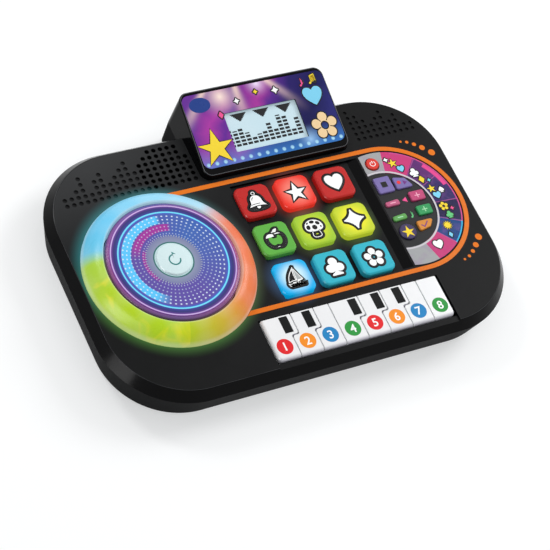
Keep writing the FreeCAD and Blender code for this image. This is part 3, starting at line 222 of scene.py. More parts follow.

# Below the deck the skirt is blacker. Its upper edge gets a patchy paler line, a painted highlight.
colour = mix(tree, deck_mask, (0.0022, 0.0022, 0.0026, 1), deck_colour)
deck_edge_highlight = maths(tree, "COMPARE", facing.outputs[2], SHOULDER_FACING, 0.07)
deck_edge_highlight = maths(tree, "MULTIPLY", deck_edge_highlight, high)
colour = mix(tree, maths(tree, "MULTIPLY", deck_edge_highlight, moulded["Cloud"]), colour, (0.10, 0.105, 0.11, 1))

# The orange dots are the same on both sides of the control panel's middle line.
mirrored = put(tree, "ShaderNodeCombineXYZ", i0=axes[0],
               i1=maths(tree, "ABSOLUTE", maths(tree, "SUBTRACT", axes[1], BOW[1])), i2=0.0).outputs[0]
dots = 0.0
for x, y, radius in ((108.6, 46.3, 0.85), (112.7, 44.9, 1.1), (116.8, 42.2, 1.4), (121.0, 38.5, 1.95),
                     (125.7, 33.5, 2.35)):
    dot = use(tree, spot, Place=mirrored, Middle=(x * MM, y * MM, 0), Near=(radius - 0.06) * MM,
              Far=(radius + 0.06) * MM)["Mask"]
    dots = maths(tree, "MAXIMUM", dot, dots)
colour = mix(tree, maths(tree, "MULTIPLY", dots, deck_mask), colour, ORANGE)
tree.links.new(colour, shader.inputs["Base Color"])
satin = maths(tree, "MULTIPLY_ADD", moulded["Cloud"], 0.12, 0.36)
gloss = maths(tree, "MULTIPLY_ADD", moulded["Smear"], 0.10, 0.17)
rough = put(tree, "ShaderNodeMix", i0=deck_mask, i2=gloss, i3=satin).outputs[0]
tree.links.new(rough, shader.inputs["Roughness"])
height = maths(tree, "MULTIPLY", moulded["Height"], deck_mask)
dents = put(tree, "ShaderNodeBump", Strength=0.22, Distance=0.00012, Height=height).outputs[0]
tree.links.new(dents, shader.inputs["Normal"])

# Light spills from the ring, blue at the back and green at the front, and from the four lit pads.
halo = use(tree, spot, Place=place, Middle=DISC, Near=53.0 * MM, Far=61.5 * MM)["Mask"]
to_front = maths(tree, "MULTIPLY_ADD", maths(tree, "SUBTRACT", axes[1], DISC[1]), -22.0, 0.5, clamp=True)
glow = mix(tree, to_front, (0.02, 0.16, 0.17, 1), (0.05, 0.15, 0.03, 1))
to_right = maths(tree, "MULTIPLY_ADD", maths(tree, "SUBTRACT", axes[0], DISC[0]), 24.0, -0.5, clamp=True)
glow = mix(tree, to_right, glow, (0.05, 0.045, 0.035, 1))
spill = mix(tree, maths(tree, "POWER", halo, 1.8), (0, 0, 0, 1), glow)
for column, row, glow in ((1, 0, (0.22, 0.035, 0.025, 1)), (1, 1, (0.07, 0.09, 0.04, 1)),
                          (2, 1, (0.07, 0.12, 0.03, 1)), (0, 2, (0.04, 0.09, 0.19, 1))):
    halo = use(tree, spot, Place=place, Middle=(PAD_X[column] * MM, PAD_Y[row] * MM, 0), Near=10.0 * MM,
               Far=21.0 * MM)["Mask"]
    spill = mix(tree, maths(tree, "POWER", halo, 1.6), spill, glow, "ADD")
tree.links.new(mix(tree, deck_mask, (0, 0, 0, 1), spill), shader.inputs["Emission Color"])
shader.inputs["Emission Strength"].default_value = 1.0
dress(["top_shell"], shell)

# Bottom shell and battery door: the same ABS as the top shell in a coarser, matt grain. The bottom
# shell closes on the top one at the belt line and is held by six screws from below, the door by one.
tray, tree, shader, place = material("tray_abs", IOR=1.46, Specular_IOR_Level=0.02)
moulded = use(tree, grain, Place=place, Size=1500.0)
colour = mix(tree, moulded["Cloud"], (0.006, 0.0062, 0.0066, 1), (0.011, 0.0113, 0.012, 1))
tree.links.new(colour, shader.inputs["Base Color"])
feel(tree, shader, moulded, 0.14, 0.46, bump=0.35, depth=0.0002, wave="Cloud")
dress(["bottom_shell", "battery_door"], tray)

# Feet: four discs of black rubber, cut from sheet and stuck into shallow round rebates in the bottom
# shell, so that the toy doesn't slide on a table.
rubber, tree, shader, place = material("foot_rubber", IOR=1.5)
moulded = use(tree, grain, Place=place, Size=900.0)
tree.links.new(mix(tree, moulded["Cloud"], (0.012, 0.012, 0.012, 1), (0.03, 0.03, 0.028, 1)),
               shader.inputs["Base Color"])
feel(tree, shader, moulded, 0.2, 0.6, bump=0.4, depth=0.0003)
dress(["feet"], rubber)

# Steel parts: the zinc plated screws, the ground shaft that the keys turn on, the cells' spring
# contacts and the speaker's pressed frame.
steel, tree, shader, place = material("plated_steel", Metallic=1.0)
moulded = use(tree, grain, Place=place, Size=3000.0)
tree.links.new(mix(tree, moulded["Cloud"], (0.50, 0.50, 0.52, 1), (0.66, 0.66, 0.65, 1)),
               shader.inputs["Base Color"])
feel(tree, shader, moulded, 0.25, 0.22)
dress(["case_screws", "battery_screw", "key_shaft", "battery_contacts", "speaker_frame"], steel)

# Stripe: an orange inlay that runs round the controls and stops at the light ring. It is moulded in
# gloss ABS and pressed into its groove in the deck.
stripe, tree, shader, place = material("stripe_abs", IOR=1.5, Specular_IOR_Level=0.12)
moulded = use(tree, grain, Place=place, Size=700.0)
tree.links.new(mix(tree, moulded["Cloud"], (0.74, 0.165, 0.010, 1), ORANGE), shader.inputs["Base Color"])
feel(tree, shader, moulded, 0.16, 0.22)
dress(["trim_stripe"], stripe)

# Light ring: frosted polycarbonate over sixteen coloured lamps. The light runs from sky blue at the
# back through yellow-green at the front left to orange on the right, with brighter patches over lamps.
LAMPS = 16
polar, into, out = group("round_the_disc", [("Place", "Vector", (0, 0, 0)), ("Middle", "Vector", DISC)],
                         [("Radius", "Float"), ("Turn", "Float")])
away = put(polar, "ShaderNodeVectorMath", {"operation": "SUBTRACT"}, i0=into["Place"], i1=into["Middle"])
arms = put(polar, "ShaderNodeSeparateXYZ", i0=away.outputs[0]).outputs
angle = maths(polar, "ARCTAN2", arms[1], arms[0])
polar.links.new(maths(polar, "FRACT", maths(polar, "DIVIDE", angle, 2 * math.pi)), out["Turn"])
square = maths(polar, "ADD", maths(polar, "MULTIPLY", arms[0], arms[0]),
               maths(polar, "MULTIPLY", arms[1], arms[1]))
polar.links.new(maths(polar, "SQRT", square), out["Radius"])

frosted, tree, shader, place = material("frosted_ring", IOR=1.5, Specular_IOR_Level=0.2)
where = use(tree, polar, Place=place)
tints = ramp(tree, where["Turn"], (
    (0.0, (0.86, 0.19, 0.075)), (0.06, (0.84, 0.20, 0.10)), (0.09, (0.72, 0.42, 0.42)),
    (0.125, (0.42, 0.74, 0.92)), (0.22, (0.32, 0.72, 0.95)), (0.37, (0.15, 0.62, 0.94)),
    (0.435, (0.14, 0.60, 0.86)), (0.462, (0.44, 0.70, 0.06)), (0.55, (0.50, 0.72, 0.015)),
    (0.70, (0.46, 0.70, 0.012)), (0.80, (0.66, 0.46, 0.04)), (0.87, (0.86, 0.22, 0.07)),
    (1.0, (0.86, 0.19, 0.075))))
cloud = put(tree, "ShaderNodeTexNoise", Vector=place, Scale=75.0, Detail=3.0, Distortion=0.8).outputs[0]
patches = maths(tree, "MULTIPLY_ADD", cloud, 5.0, -2.7, clamp=True)
warmer = mix(tree, maths(tree, "MULTIPLY", patches, 0.7), tints, (0.90, 0.82, 0.02, 1), "LIGHTEN")
front_left = maths(tree, "COMPARE", where["Turn"], 0.60, 0.12)
tints = mix(tree, front_left, tints, warmer)
lamps = maths(tree, "COSINE", maths(tree, "MULTIPLY", where["Turn"], LAMPS * 2 * math.pi))
# The ring's inner and outer edges are paler, painted highlights.
ring_edge_highlights = ramp(tree, maths(tree, "DIVIDE", where["Radius"], 60.0 * MM), (
    (0.0, (0.3, 0.3, 0.3)), (0.702, (0.3, 0.3, 0.3)), (0.718, (0.05, 0.05, 0.05)),
    (0.80, NOTHING), (0.865, (0.05, 0.05, 0.05)), (0.885, (0.30, 0.30, 0.30))))
paler = maths(tree, "ADD", maths(tree, "MULTIPLY", lamps, 0.03), ring_edge_highlights, clamp=True)
lit = mix(tree, paler, tints, (0.95, 0.98, 0.90, 1))
moulded = use(tree, grain, Place=place, Size=1200.0)
tree.links.new(mix(tree, 1.0, lit, (0.5, 0.5, 0.5, 1), "MULTIPLY"), shader.inputs["Base Color"])
tree.links.new(lit, shader.inputs["Emission Color"])
shader.inputs["Emission Strength"].default_value = 0.5
feel(tree, shader, moulded, 0.12, 0.24, bump=0.12, depth=0.0002)
dress(["light_ring"], frosted)

# Platter: a black disc with a turned rim, on a spindle in a dish. The sheet on it is printed in
# coloured bands with rows of dots, and a pearl cap with a turning arrow closes its middle.
GROOVE = 0.5 * MM
vinyl, tree, shader, place = material("platter_abs", IOR=1.5, Specular_IOR_Level=0.35)
where = use(tree, polar, Place=place)
moulded = use(tree, grain, Place=place, Size=1800.0)
turned = maths(tree, "SINE", maths(tree, "MULTIPLY", where["Radius"], 2 * math.pi / GROOVE))
rim_tint = ramp(tree, where["Turn"], (
    (0.0, (0.50, 0.06, 0.20)), (0.10, (0.28, 0.10, 0.34)), (0.25, (0.10, 0.14, 0.45)),
    (0.40, (0.34, 0.10, 0.42)), (0.50, (0.40, 0.10, 0.36)), (0.70, (0.20, 0.10, 0.34)),
    (1.0, (0.50, 0.06, 0.20))))
purple = put(tree, "ShaderNodeMapRange", Value=where["Radius"], From_Min=38.6 * MM, From_Max=41.6 * MM)
tree.links.new(mix(tree, purple.outputs[0], rim_tint, (0.035, 0.018, 0.08, 1)), shader.inputs["Base Color"])
feel(tree, shader, moulded, 0.15, 0.2)
grooves = put(tree, "ShaderNodeBump", Strength=0.2, Distance=0.0001, Height=turned).outputs[0]
tree.links.new(grooves, shader.inputs["Normal"])
dress(["platter", "turntable_base"], vinyl)

dotted, into, out = group("rows_of_dots", [("Along", "Float", 0.0), ("Across", "Float", 0.0),
                                           ("Size", "Float", 0.3)], [("Mask", "Float")])
cell_x = maths(dotted, "SUBTRACT", maths(dotted, "FRACT", into["Along"]), 0.5)
cell_y = maths(dotted, "SUBTRACT", maths(dotted, "FRACT", into["Across"]), 0.5)
reach = maths(dotted, "SQRT", maths(dotted, "ADD", maths(dotted, "MULTIPLY", cell_x, cell_x),
                                    maths(dotted, "MULTIPLY", cell_y, cell_y)))
soft = put(dotted, "ShaderNodeMapRange", Value=reach, From_Min=into["Size"],
           From_Max=maths(dotted, "ADD", into["Size"], 0.12), To_Min=1.0, To_Max=0.0).outputs[0]
dotted.links.new(soft, out["Mask"])

DOTS_ROUND, DOT_ROW = 60.0, 2.45 * MM
TEETH = 66
printed, tree, shader, place = material("platter_print", IOR=1.5, Specular_IOR_Level=0.25)
where = use(tree, polar, Place=place)
across = maths(tree, "DIVIDE", where["Radius"], 40.0 * MM)
bluer = ramp(tree, where["Turn"], (
    (0.0, (0.7, 0.7, 0.7)), (0.12, FULL), (0.24, (0.6, 0.6, 0.6)), (0.34, NOTHING),
    (0.80, NOTHING), (1.0, (0.7, 0.7, 0.7))))
field = mix(tree, bluer, (0.095, 0.06, 0.34, 1), (0.035, 0.115, 0.42, 1))
bands = ramp(tree, across, (
    (0.0, (0.60, 0.80, 0.82)), (0.288, (0.60, 0.80, 0.82)), (0.293, (0.01, 0.13, 0.11)),
    (0.309, (0.01, 0.13, 0.11)), (0.314, (0.24, 0.27, 0.40)), (0.41, (0.18, 0.20, 0.36)),
    (0.415, (0.12, 0.08, 0.34)), (0.79, (0.06, 0.07, 0.42)), (0.822, (0.04, 0.10, 0.50)),
    (0.828, (0.16, 0.74, 0.96)), (0.843, (0.16, 0.74, 0.96)), (0.852, (0.03, 0.03, 0.28)),
    (0.90, (0.018, 0.016, 0.14)), (0.935, (0.12, 0.03, 0.28)), (0.94, (0.62, 0.44, 0.78)),
    (0.952, (0.62, 0.44, 0.78)), (0.958, (0.18, 0.04, 0.30))))
in_field = maths(tree, "COMPARE", across, 0.603, 0.197)
bands = mix(tree, in_field, bands, field)
# Each arc's turns, from where it begins to where it has faded out, its middle, half width and colour.
for rise, on, fall, off, middle, half, paint in (
        (0.20, 0.215, 0.40, 0.46, 0.565, 0.062, (0.33, 0.02, 0.30, 1)),
        (0.40, 0.42, 0.58, 0.62, 0.445, 0.030, (0.30, 0.02, 0.30, 1)),
        (0.235, 0.25, 0.63, 0.68, 0.715, 0.070, (0.09, 0.54, 0.92, 1))):
    part = ramp(tree, where["Turn"], (
        (0.0, NOTHING), (rise, NOTHING), (on, FULL), (fall, FULL), (off, NOTHING)))
    arc = maths(tree, "MULTIPLY", part, maths(tree, "COMPARE", across, middle, half))
    bands = mix(tree, arc, bands, paint)
rows = use(tree, dotted, Along=maths(tree, "MULTIPLY", where["Turn"], DOTS_ROUND),
           Across=maths(tree, "DIVIDE", where["Radius"], DOT_ROW), Size=0.12)["Mask"]
fainter = maths(tree, "MULTIPLY_ADD", maths(tree, "COMPARE", across, 0.715, 0.070), 0.45, 0.45)
bands = mix(tree, maths(tree, "MULTIPLY", rows, maths(tree, "MULTIPLY", in_field, fainter)), bands,
            (0.74, 0.86, 0.98, 1))
around = maths(tree, "MULTIPLY", where["Turn"], TEETH * 2 * math.pi)
teeth = maths(tree, "GREATER_THAN", maths(tree, "SINE", around), 0.0)
bands = mix(tree, maths(tree, "MULTIPLY", teeth, maths(tree, "COMPARE", across, 0.422, 0.013)), bands,
            (0.30, 0.33, 0.42, 1))
moulded = use(tree, grain, Place=place, Size=900.0)
bands = mix(tree, maths(tree, "MULTIPLY", moulded["Cloud"], 0.06), bands, (0.50, 0.55, 0.85, 1))
tree.links.new(bands, shader.inputs["Base Color"])
# The printed sheet glows faintly, a painted glow.
tree.links.new(bands, shader.inputs["Emission Color"])
shader.inputs["Emission Strength"].default_value = 0.10
feel(tree, shader, moulded, 0.14, 0.16)
dress(["platter_label"], printed)

pearl, tree, shader, place = material("cap_pearl", IOR=1.5, Coat_Weight=0.2)
moulded = use(tree, grain, Place=place, Size=1600.0)
tree.links.new(mix(tree, moulded["Cloud"], (0.56, 0.78, 0.80, 1), (0.76, 0.90, 0.93, 1)),
               shader.inputs["Base Color"])
feel(tree, shader, moulded, 0.14, 0.2)
dress(["platter_cap"], pearl)


def lettered(letter, size):
    """A sign as a text object at the origin."""
    bpy.ops.object.select_all(action="DESELECT")
    bpy.ops.object.text_add(location=(0, 0, 0))
    made = bpy.context.object
    made.data.body = letter
    made.data.resolution_u = 5
    made.data.align_x = "CENTER"
    made.data.size = size
    return made


def sign(name, letter, x, y, z, tall, made_of, body, line=0.0, swell=0.0, thick=0.07, lean=None):
    """A printed sign of that height in mm about (x, y), its lower side at height z, as a closed mesh.
    With a line it is only the sign's outline, that many mm to each side of its edge."""
    lettered(letter, 1.0)
    bpy.ops.object.convert(target="MESH")
    corners = [point.co for point in bpy.context.object.data.vertices]
    low = Vector((min(co.x for co in corners), min(co.y for co in corners), 0))
    high = Vector((max(co.x for co in corners), max(co.y for co in corners), 0))
    grow = tall * MM / (high.y - low.y)
    bpy.ops.object.delete()
    made = lettered(letter, grow)
    made.name = name
    made.data.name = name
    made.data.offset = swell * MM
    if line:
        bpy.ops.object.convert(target="CURVE")
        made = bpy.context.object
        made.data.dimensions = "3D"
        made.data.fill_mode = "FULL"
        made.data.bevel_depth = line * MM
        made.data.bevel_resolution = 1
    else:
        made.data.extrude = thick * MM / 2
    bpy.ops.object.convert(target="MESH")
    made = bpy.context.object
    if line:
        made.data.transform(Matrix.Diagonal((1, 1, thick / (2 * line), 1)))
    middle = (low + high) / 2 * grow
    move = Matrix.Translation((x * MM - middle.x, y * MM - middle.y, (z + thick / 2) * MM))
    if lean:
        move = lean @ Matrix.Translation((-middle.x, -middle.y, thick * MM / 2))
    made.data.transform(move)
    made.data.materials.clear()
    made.data.materials.append(made_of)
    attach(made, body)


def ink(name, colour, shine=0.35, light=0.0):
    """Pad printing ink, paler where it is thicker; with light it also has a painted glow."""
    made, tree, shader, place = material(name, IOR=1.5, Specular_IOR_Level=0.15)
    moulded = use(tree, grain, Place=place, Size=2600.0)
    pale = [min(1.0, part * 1.12 + 0.01) for part in colour]
    printed_colour = mix(tree, moulded["Cloud"], (*colour, 1), (*pale, 1))
    tree.links.new(printed_colour, shader.inputs["Base Color"])
    feel(tree, shader, moulded, 0.15, shine, bump=0.08, depth=0.00005)
    if light:
        tree.links.new(printed_colour, shader.inputs["Emission Color"])
        shader.inputs["Emission Strength"].default_value = light
    return made


# White ink has a faint painted glow.
white_ink = ink("white_ink", (0.86, 0.88, 0.88), light=0.10)
black_ink = ink("black_ink", (0.006, 0.006, 0.007))
teal_ink = ink("teal_ink", (0.02, 0.20, 0.20))
CAP_TOP = 41.28
sign("cap_sign", "↻", DISC[0] / MM, DISC[1] / MM, CAP_TOP, 9.5, teal_ink, "platter_turn",
     thick=0.03)

# Pads: translucent silicone caps over lamps, four of them lit, so that their middles are paler. Each
# has a white sign with a black outline printed on it. The back row is red, then come green and blue.
PAD_TOP = 31.2
RED, GREEN, TEAL = (0.52, 0.018, 0.016), (0.115, 0.44, 0.06), (0.03, 0.47, 0.60)
# For each pad: the colours of its rim and core, how strongly it glows, its sign and the sign's height.
PAD_LOOKS = (
    (RED, RED, 0.0, "\U0001F514", 13.0),
    ((0.86, 0.035, 0.02), (0.92, 0.22, 0.17), 0.5, "★", 13.5),
    (RED, RED, 0.0, "♥", 11.5),
    (GREEN, GREEN, 0.0, "\U0001F34E", 13.0),
    ((0.36, 0.60, 0.035), (0.62, 0.74, 0.03), 0.5, "\U0001F344", 13.0),
    ((0.56, 0.68, 0.03), (0.92, 0.86, 0.03), 0.5, "✦", 14.0),
    ((0.0, 0.44, 0.88), (0.62, 0.88, 0.98), 0.5, "⛵", 13.0),
    (TEAL, TEAL, 0.0, "♣", 12.5),
    (TEAL, TEAL, 0.0, "✿", 12.5))
lit_pad, into, out = group("lit_from_below", [("Place", "Vector", (0, 0, 0)),
                                              ("Middle", "Vector", (0, 0, 0)),
                                              ("Rim", "Color", (1, 0, 0, 1)),
                                              ("Core", "Color", (1, 1, 1, 1))],
                           [("Light", "Color")])
away = put(lit_pad, "ShaderNodeVectorMath", {"operation": "SUBTRACT"}, i0=into["Place"],
           i1=into["Middle"])
level = put(lit_pad, "ShaderNodeVectorMath", {"operation": "MULTIPLY"}, i0=away.outputs[0], i1=(1, 1, 0))
reach = put(lit_pad, "ShaderNodeVectorMath", {"operation": "LENGTH"}, i0=level.outputs[0]).outputs["Value"]
cloud = put(lit_pad, "ShaderNodeTexNoise", Vector=into["Place"], Scale=120.0, Detail=2.0).outputs[0]
core = put(lit_pad, "ShaderNodeMapRange", {"interpolation_type": "SMOOTHSTEP"}, Value=reach,
           From_Min=maths(lit_pad, "MULTIPLY_ADD", cloud, 0.004, 0.002), From_Max=13.0 * MM,
           To_Min=1.0, To_Max=0.0).outputs[0]
lit_pad.links.new(mix(lit_pad, core, into["Rim"], into["Core"]), out["Light"])
for number, (rim, core, light, letter, tall) in enumerate(PAD_LOOKS):
    name = "pad_%d" % (number + 1)
    x, y = PAD_X[number % 3], PAD_Y[number // 3]
    silicone, tree, shader, place = material(name + "_silicone", IOR=1.43, Specular_IOR_Level=0.25)
    glowing = use(tree, lit_pad, Place=place, Middle=(x * MM, y * MM, 0), Rim=(*rim, 1),
                  Core=(*core, 1))["Light"]
    moulded = use(tree, grain, Place=place, Size=1400.0)
    worn = maths(tree, "MULTIPLY", moulded["Cloud"], 0.25)
    worn = mix(tree, worn, glowing, (0.8, 0.8, 0.8, 1), "MULTIPLY")
    tree.links.new(mix(tree, light, worn, (0, 0, 0, 1)), shader.inputs["Base Color"])
    tree.links.new(glowing, shader.inputs["Emission Color"])
    # The extra 0.04 on every pad, lit or not, is a faint painted glow.
    shader.inputs["Emission Strength"].default_value = light + 0.04
    feel(tree, shader, moulded, 0.16, 0.26, bump=0.15, depth=0.0002)
    dress([name], silicone)
    body, slot = name + "_body", ("pad_red", "pad_green", "pad_blue")[number // 3]
    sign(name + "_outline", letter, x, y, PAD_TOP, tall, black_ink, body, line=1.7, thick=0.04)
    sign(name + "_sign", letter, x, y, PAD_TOP, tall, white_ink, body)

# Inside: moulded silicone mats that spring the pads, buttons and keys back, lacquered circuit boards,
# the speaker's paper cone and magnet, and three wrapped cells.
mat_rubber, tree, shader, place = material("dome_silicone", IOR=1.43)
moulded = use(tree, grain, Place=place, Size=800.0)
tree.links.new(mix(tree, moulded["Cloud"], (0.22, 0.22, 0.24, 1), (0.30, 0.30, 0.31, 1)),
               shader.inputs["Base Color"])
feel(tree, shader, moulded, 0.15, 0.5)
dress(["pad_mat", "key_mat", "button_mat"], mat_rubber)

board, tree, shader, place = material("board_lacquer", IOR=1.5, Coat_Weight=0.6)
moulded = use(tree, grain, Place=place, Size=500.0)
tracks = put(tree, "ShaderNodeTexBrick", {"offset": 0.5}, Vector=place, Scale=160.0,
             Color1=(0.02, 0.16, 0.05, 1), Color2=(0.02, 0.12, 0.04, 1), Mortar=(0.05, 0.26, 0.08, 1))
tree.links.new(tracks.outputs[0], shader.inputs["Base Color"])
feel(tree, shader, moulded, 0.2, 0.28)
dress(["main_board", "key_board", "light_board", "lcd_board"], board)

paper, tree, shader, place = material("cone_paper", IOR=1.4)
moulded = use(tree, grain, Place=place, Size=1300.0)
tree.links.new(mix(tree, moulded["Height"], (0.010, 0.010, 0.010, 1), (0.03, 0.03, 0.028, 1)),
               shader.inputs["Base Color"])
feel(tree, shader, moulded, 0.2, 0.7, wave="Cloud")
dress(["speaker_cone", "speaker_magnet"], paper)

COPPER_FROM = 33.0 * MM
wrap, tree, shader, place = material("cell_wrap", IOR=1.5, Metallic=0.4)
moulded = use(tree, grain, Place=place, Size=900.0)
along = put(tree, "ShaderNodeSeparateXYZ", i0=place).outputs[0]
copper = maths(tree, "GREATER_THAN", along, COPPER_FROM)
tree.links.new(mix(tree, copper, (0.02, 0.03, 0.05, 1), (0.55, 0.30, 0.10, 1)), shader.inputs["Base Color"])
feel(tree, shader, moulded, 0.2, 0.25)
dress(["battery_1", "battery_2", "battery_3"], wrap)

# Keys: eight levers moulded in gloss ABS in a cool white, hung on one shaft at the back. Five carry a
# black bar in thick print, and each a coloured spot with its number.
key_gloss, tree, shader, place = material("key_abs", IOR=1.5)
moulded = use(tree, grain, Place=place, Size=700.0)
facing = put(tree, "ShaderNodeSeparateXYZ", i0=tree.nodes.new("ShaderNodeNewGeometry").outputs["Normal"])
# Faces turned to the front are mixed toward lavender grey, a painted shade.
front = maths(tree, "MULTIPLY", facing.outputs[1], -0.55, clamp=True)
body_colour = mix(tree, moulded["Cloud"], (0.85, 0.86, 0.88, 1), (0.91, 0.92, 0.93, 1))
tree.links.new(mix(tree, front, body_colour, (0.46, 0.44, 0.58, 1)), shader.inputs["Base Color"])
feel(tree, shader, moulded, 0.12, 0.14)
dress(["key_%d" % number for number in range(1, 9)], key_gloss)
SPOT_INKS = [ink("spot_red", (0.74, 0.012, 0.017)), ink("spot_orange", (0.90, 0.27, 0.012)),
             ink("spot_blue", (0.01, 0.22, 0.52)), ink("spot_green", (0.02, 0.29, 0.045))]
SPOT_RADIUS, SPOT_Y = 5.2, -79.9
BAR_Y = -66.35
BAR_WIDE, BAR_LONG, BAR_THICK = 5.6 * MM, 11.1 * MM, 0.28 * MM
KEY_BARS = {1: -25.5, 2: -10.0, 4: 21.8, 5: 37.9, 6: 52.8}
KEYS_LEFT, KEY_PITCH = -40.2, 15.5
KEY_TOP = 29.8
PRINT = 0.05


def copied(pattern, name, x, y, z, made_of, body):
    """A copy of a pattern piece, with its own mesh, moved by x, y and z mm."""
    made = pattern.copy()
    made.data = pattern.data.copy()
    made.name = name
    made.data.name = name
    bpy.context.collection.objects.link(made)
    made.data.transform(Matrix.Translation((x * MM, y * MM, z * MM)))
    made.data.materials.append(made_of)
    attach(made, body)


def thicken():
    """Makes the active flat disc a print with a bevelled rim."""
    bpy.ops.object.mode_set(mode="EDIT")
    bpy.ops.mesh.extrude_region_move(TRANSFORM_OT_translate={"value": (0, 0, PRINT * MM)})
    bpy.ops.mesh.inset(thickness=PRINT * MM)
    bpy.ops.mesh.select_all(action="SELECT")
    bpy.ops.mesh.normals_make_consistent(inside=False)
    bpy.ops.object.mode_set(mode="OBJECT")


bpy.ops.object.select_all(action="DESELECT")
bpy.ops.mesh.primitive_circle_add(vertices=48, radius=SPOT_RADIUS * MM, fill_type="NGON")
spot_pattern = bpy.context.object
thicken()

bpy.ops.object.select_all(action="DESELECT")
bpy.ops.mesh.primitive_cube_add(size=1, location=(0, 0, 0))
bar_pattern = bpy.context.object
bar_pattern.scale = (BAR_WIDE, BAR_LONG, BAR_THICK)
bpy.ops.object.transform_apply(location=True, rotation=True, scale=True)
bpy.ops.object.mode_set(mode="EDIT")
bpy.ops.mesh.select_all(action="SELECT")
bpy.ops.mesh.bevel(offset=0.12 * MM, segments=3, affect="EDGES", profile=0.5)
bpy.ops.object.mode_set(mode="OBJECT")

bar_black, tree, shader, place = material("bar_ink", IOR=1.5, Specular_IOR_Level=0.1)
moulded = use(tree, grain, Place=place, Size=900.0)
tree.links.new(mix(tree, moulded["Cloud"], (0.007, 0.0075, 0.008, 1), (0.012, 0.0125, 0.013, 1)),
               shader.inputs["Base Color"])
feel(tree, shader, moulded, 0.14, 0.12)
for number in range(1, 9):
    body = "key_%d_body" % number
    middle = KEYS_LEFT + KEY_PITCH * (number - 0.5)
    copied(spot_pattern, "key_%d_spot" % number, middle, SPOT_Y, KEY_TOP, SPOT_INKS[(number - 1) % 4], body)
    sign("key_%d_number" % number, str(number), middle, SPOT_Y, KEY_TOP + 0.04, 5.4, white_ink, body,
         swell=0.12, thick=0.04)
    if number in KEY_BARS:
        copied(bar_pattern, "key_%d_bar" % number, KEY_BARS[number], BAR_Y, KEY_TOP + 0.04, bar_black, body)
bpy.data.objects.remove(spot_pattern)
bpy.data.objects.remove(bar_pattern)

# Control panel: a black plate and nine rubbery buttons with printed signs. A printed film is stuck
# round it, in six coloured fields between two grey ends, with a pale line along its inner side.
panel, tree, shader, place = material("panel_plate", IOR=1.5, Specular_IOR_Level=0.15)
moulded = use(tree, grain, Place=place)
tree.links.new(mix(tree, moulded["Cloud"], (0.012, 0.012, 0.014, 1), (0.022, 0.022, 0.024, 1)),
               shader.inputs["Base Color"])
feel(tree, shader, moulded, 0.15, 0.34, bump=0.2, wave="Cloud")
dress(["control_panel"], panel)

INNER = (80.2 * MM, -0.1 * MM + BACK, 0)
SEAMS = (0.117, 0.181, 0.242, 0.3167, 0.3805)
film, tree, shader, place = material("activity_film", IOR=1.5, Specular_IOR_Level=0.12)
where = use(tree, polar, Place=place, Middle=INNER)
turned = maths(tree, "FRACT", maths(tree, "ADD", where["Turn"], 0.25))
fields = ramp(tree, turned, (
    (0.0, (0.38, 0.39, 0.40)), (0.046, (0.58, 0.05, 0.20)), (0.117, (0.012, 0.06, 0.22)),
    (0.181, (0.018, 0.014, 0.07)), (0.242, (0.04, 0.025, 0.13)), (0.3167, (0.12, 0.03, 0.17)),
    (0.3805, (0.60, 0.05, 0.20)), (0.4583, (0.38, 0.39, 0.40))), "CONSTANT")
shade = put(tree, "ShaderNodeTexNoise", Vector=place, Scale=120.0, Detail=3.0).outputs[0]
shade = maths(tree, "MULTIPLY_ADD", shade, 1.2, -0.62, clamp=True)
fields = mix(tree, shade, fields, (0.34, 0.10, 0.42, 1))
seams = 0.0
for turn in SEAMS:
    seams = maths(tree, "MAXIMUM", maths(tree, "COMPARE", turned, turn, 0.0014), seams)
fields = mix(tree, maths(tree, "MULTIPLY", seams, 0.6), fields, (0.50, 0.10, 0.34, 1))
line = maths(tree, "COMPARE", where["Radius"], 28.9 * MM, 0.6 * MM)
outer = use(tree, polar, Place=place, Middle=BOW)
edge_line = maths(tree, "GREATER_THAN", outer["Radius"], 41.7 * MM)
pink_part = maths(tree, "COMPARE", turned, 0.31, 0.13)
sky_part = maths(tree, "COMPARE", turned, 0.149, 0.032)
fields = mix(tree, maths(tree, "MULTIPLY", edge_line, pink_part), fields, (0.62, 0.08, 0.28, 1))
fields = mix(tree, maths(tree, "MULTIPLY", edge_line, sky_part), fields, (0.04, 0.46, 0.78, 1))
bare_band = maths(tree, "MULTIPLY", maths(tree, "COMPARE", outer["Radius"], 40.2 * MM, 1.4 * MM),
                  maths(tree, "COMPARE", outer["Turn"], 0.072, 0.038))
fields = mix(tree, bare_band, fields, (0.80, 0.07, 0.29, 1))
fields = mix(tree, line, fields, (0.62, 0.60, 0.64, 1))
tree.links.new(fields, shader.inputs["Base Color"])
moulded = use(tree, grain, Place=place, Size=900.0)
feel(tree, shader, moulded, 0.14, 0.18)
dress(["activity_strip"], film)
yellow_ink = ink("yellow_ink", (0.90, 0.66, 0.03))
sky_ink = ink("sky_ink", (0.20, 0.62, 0.85))
pink_ink = ink("pink_ink", (0.85, 0.08, 0.29))
lime_ink = ink("lime_ink", (0.12, 0.55, 0.20))
FILM_TOP = 29.15
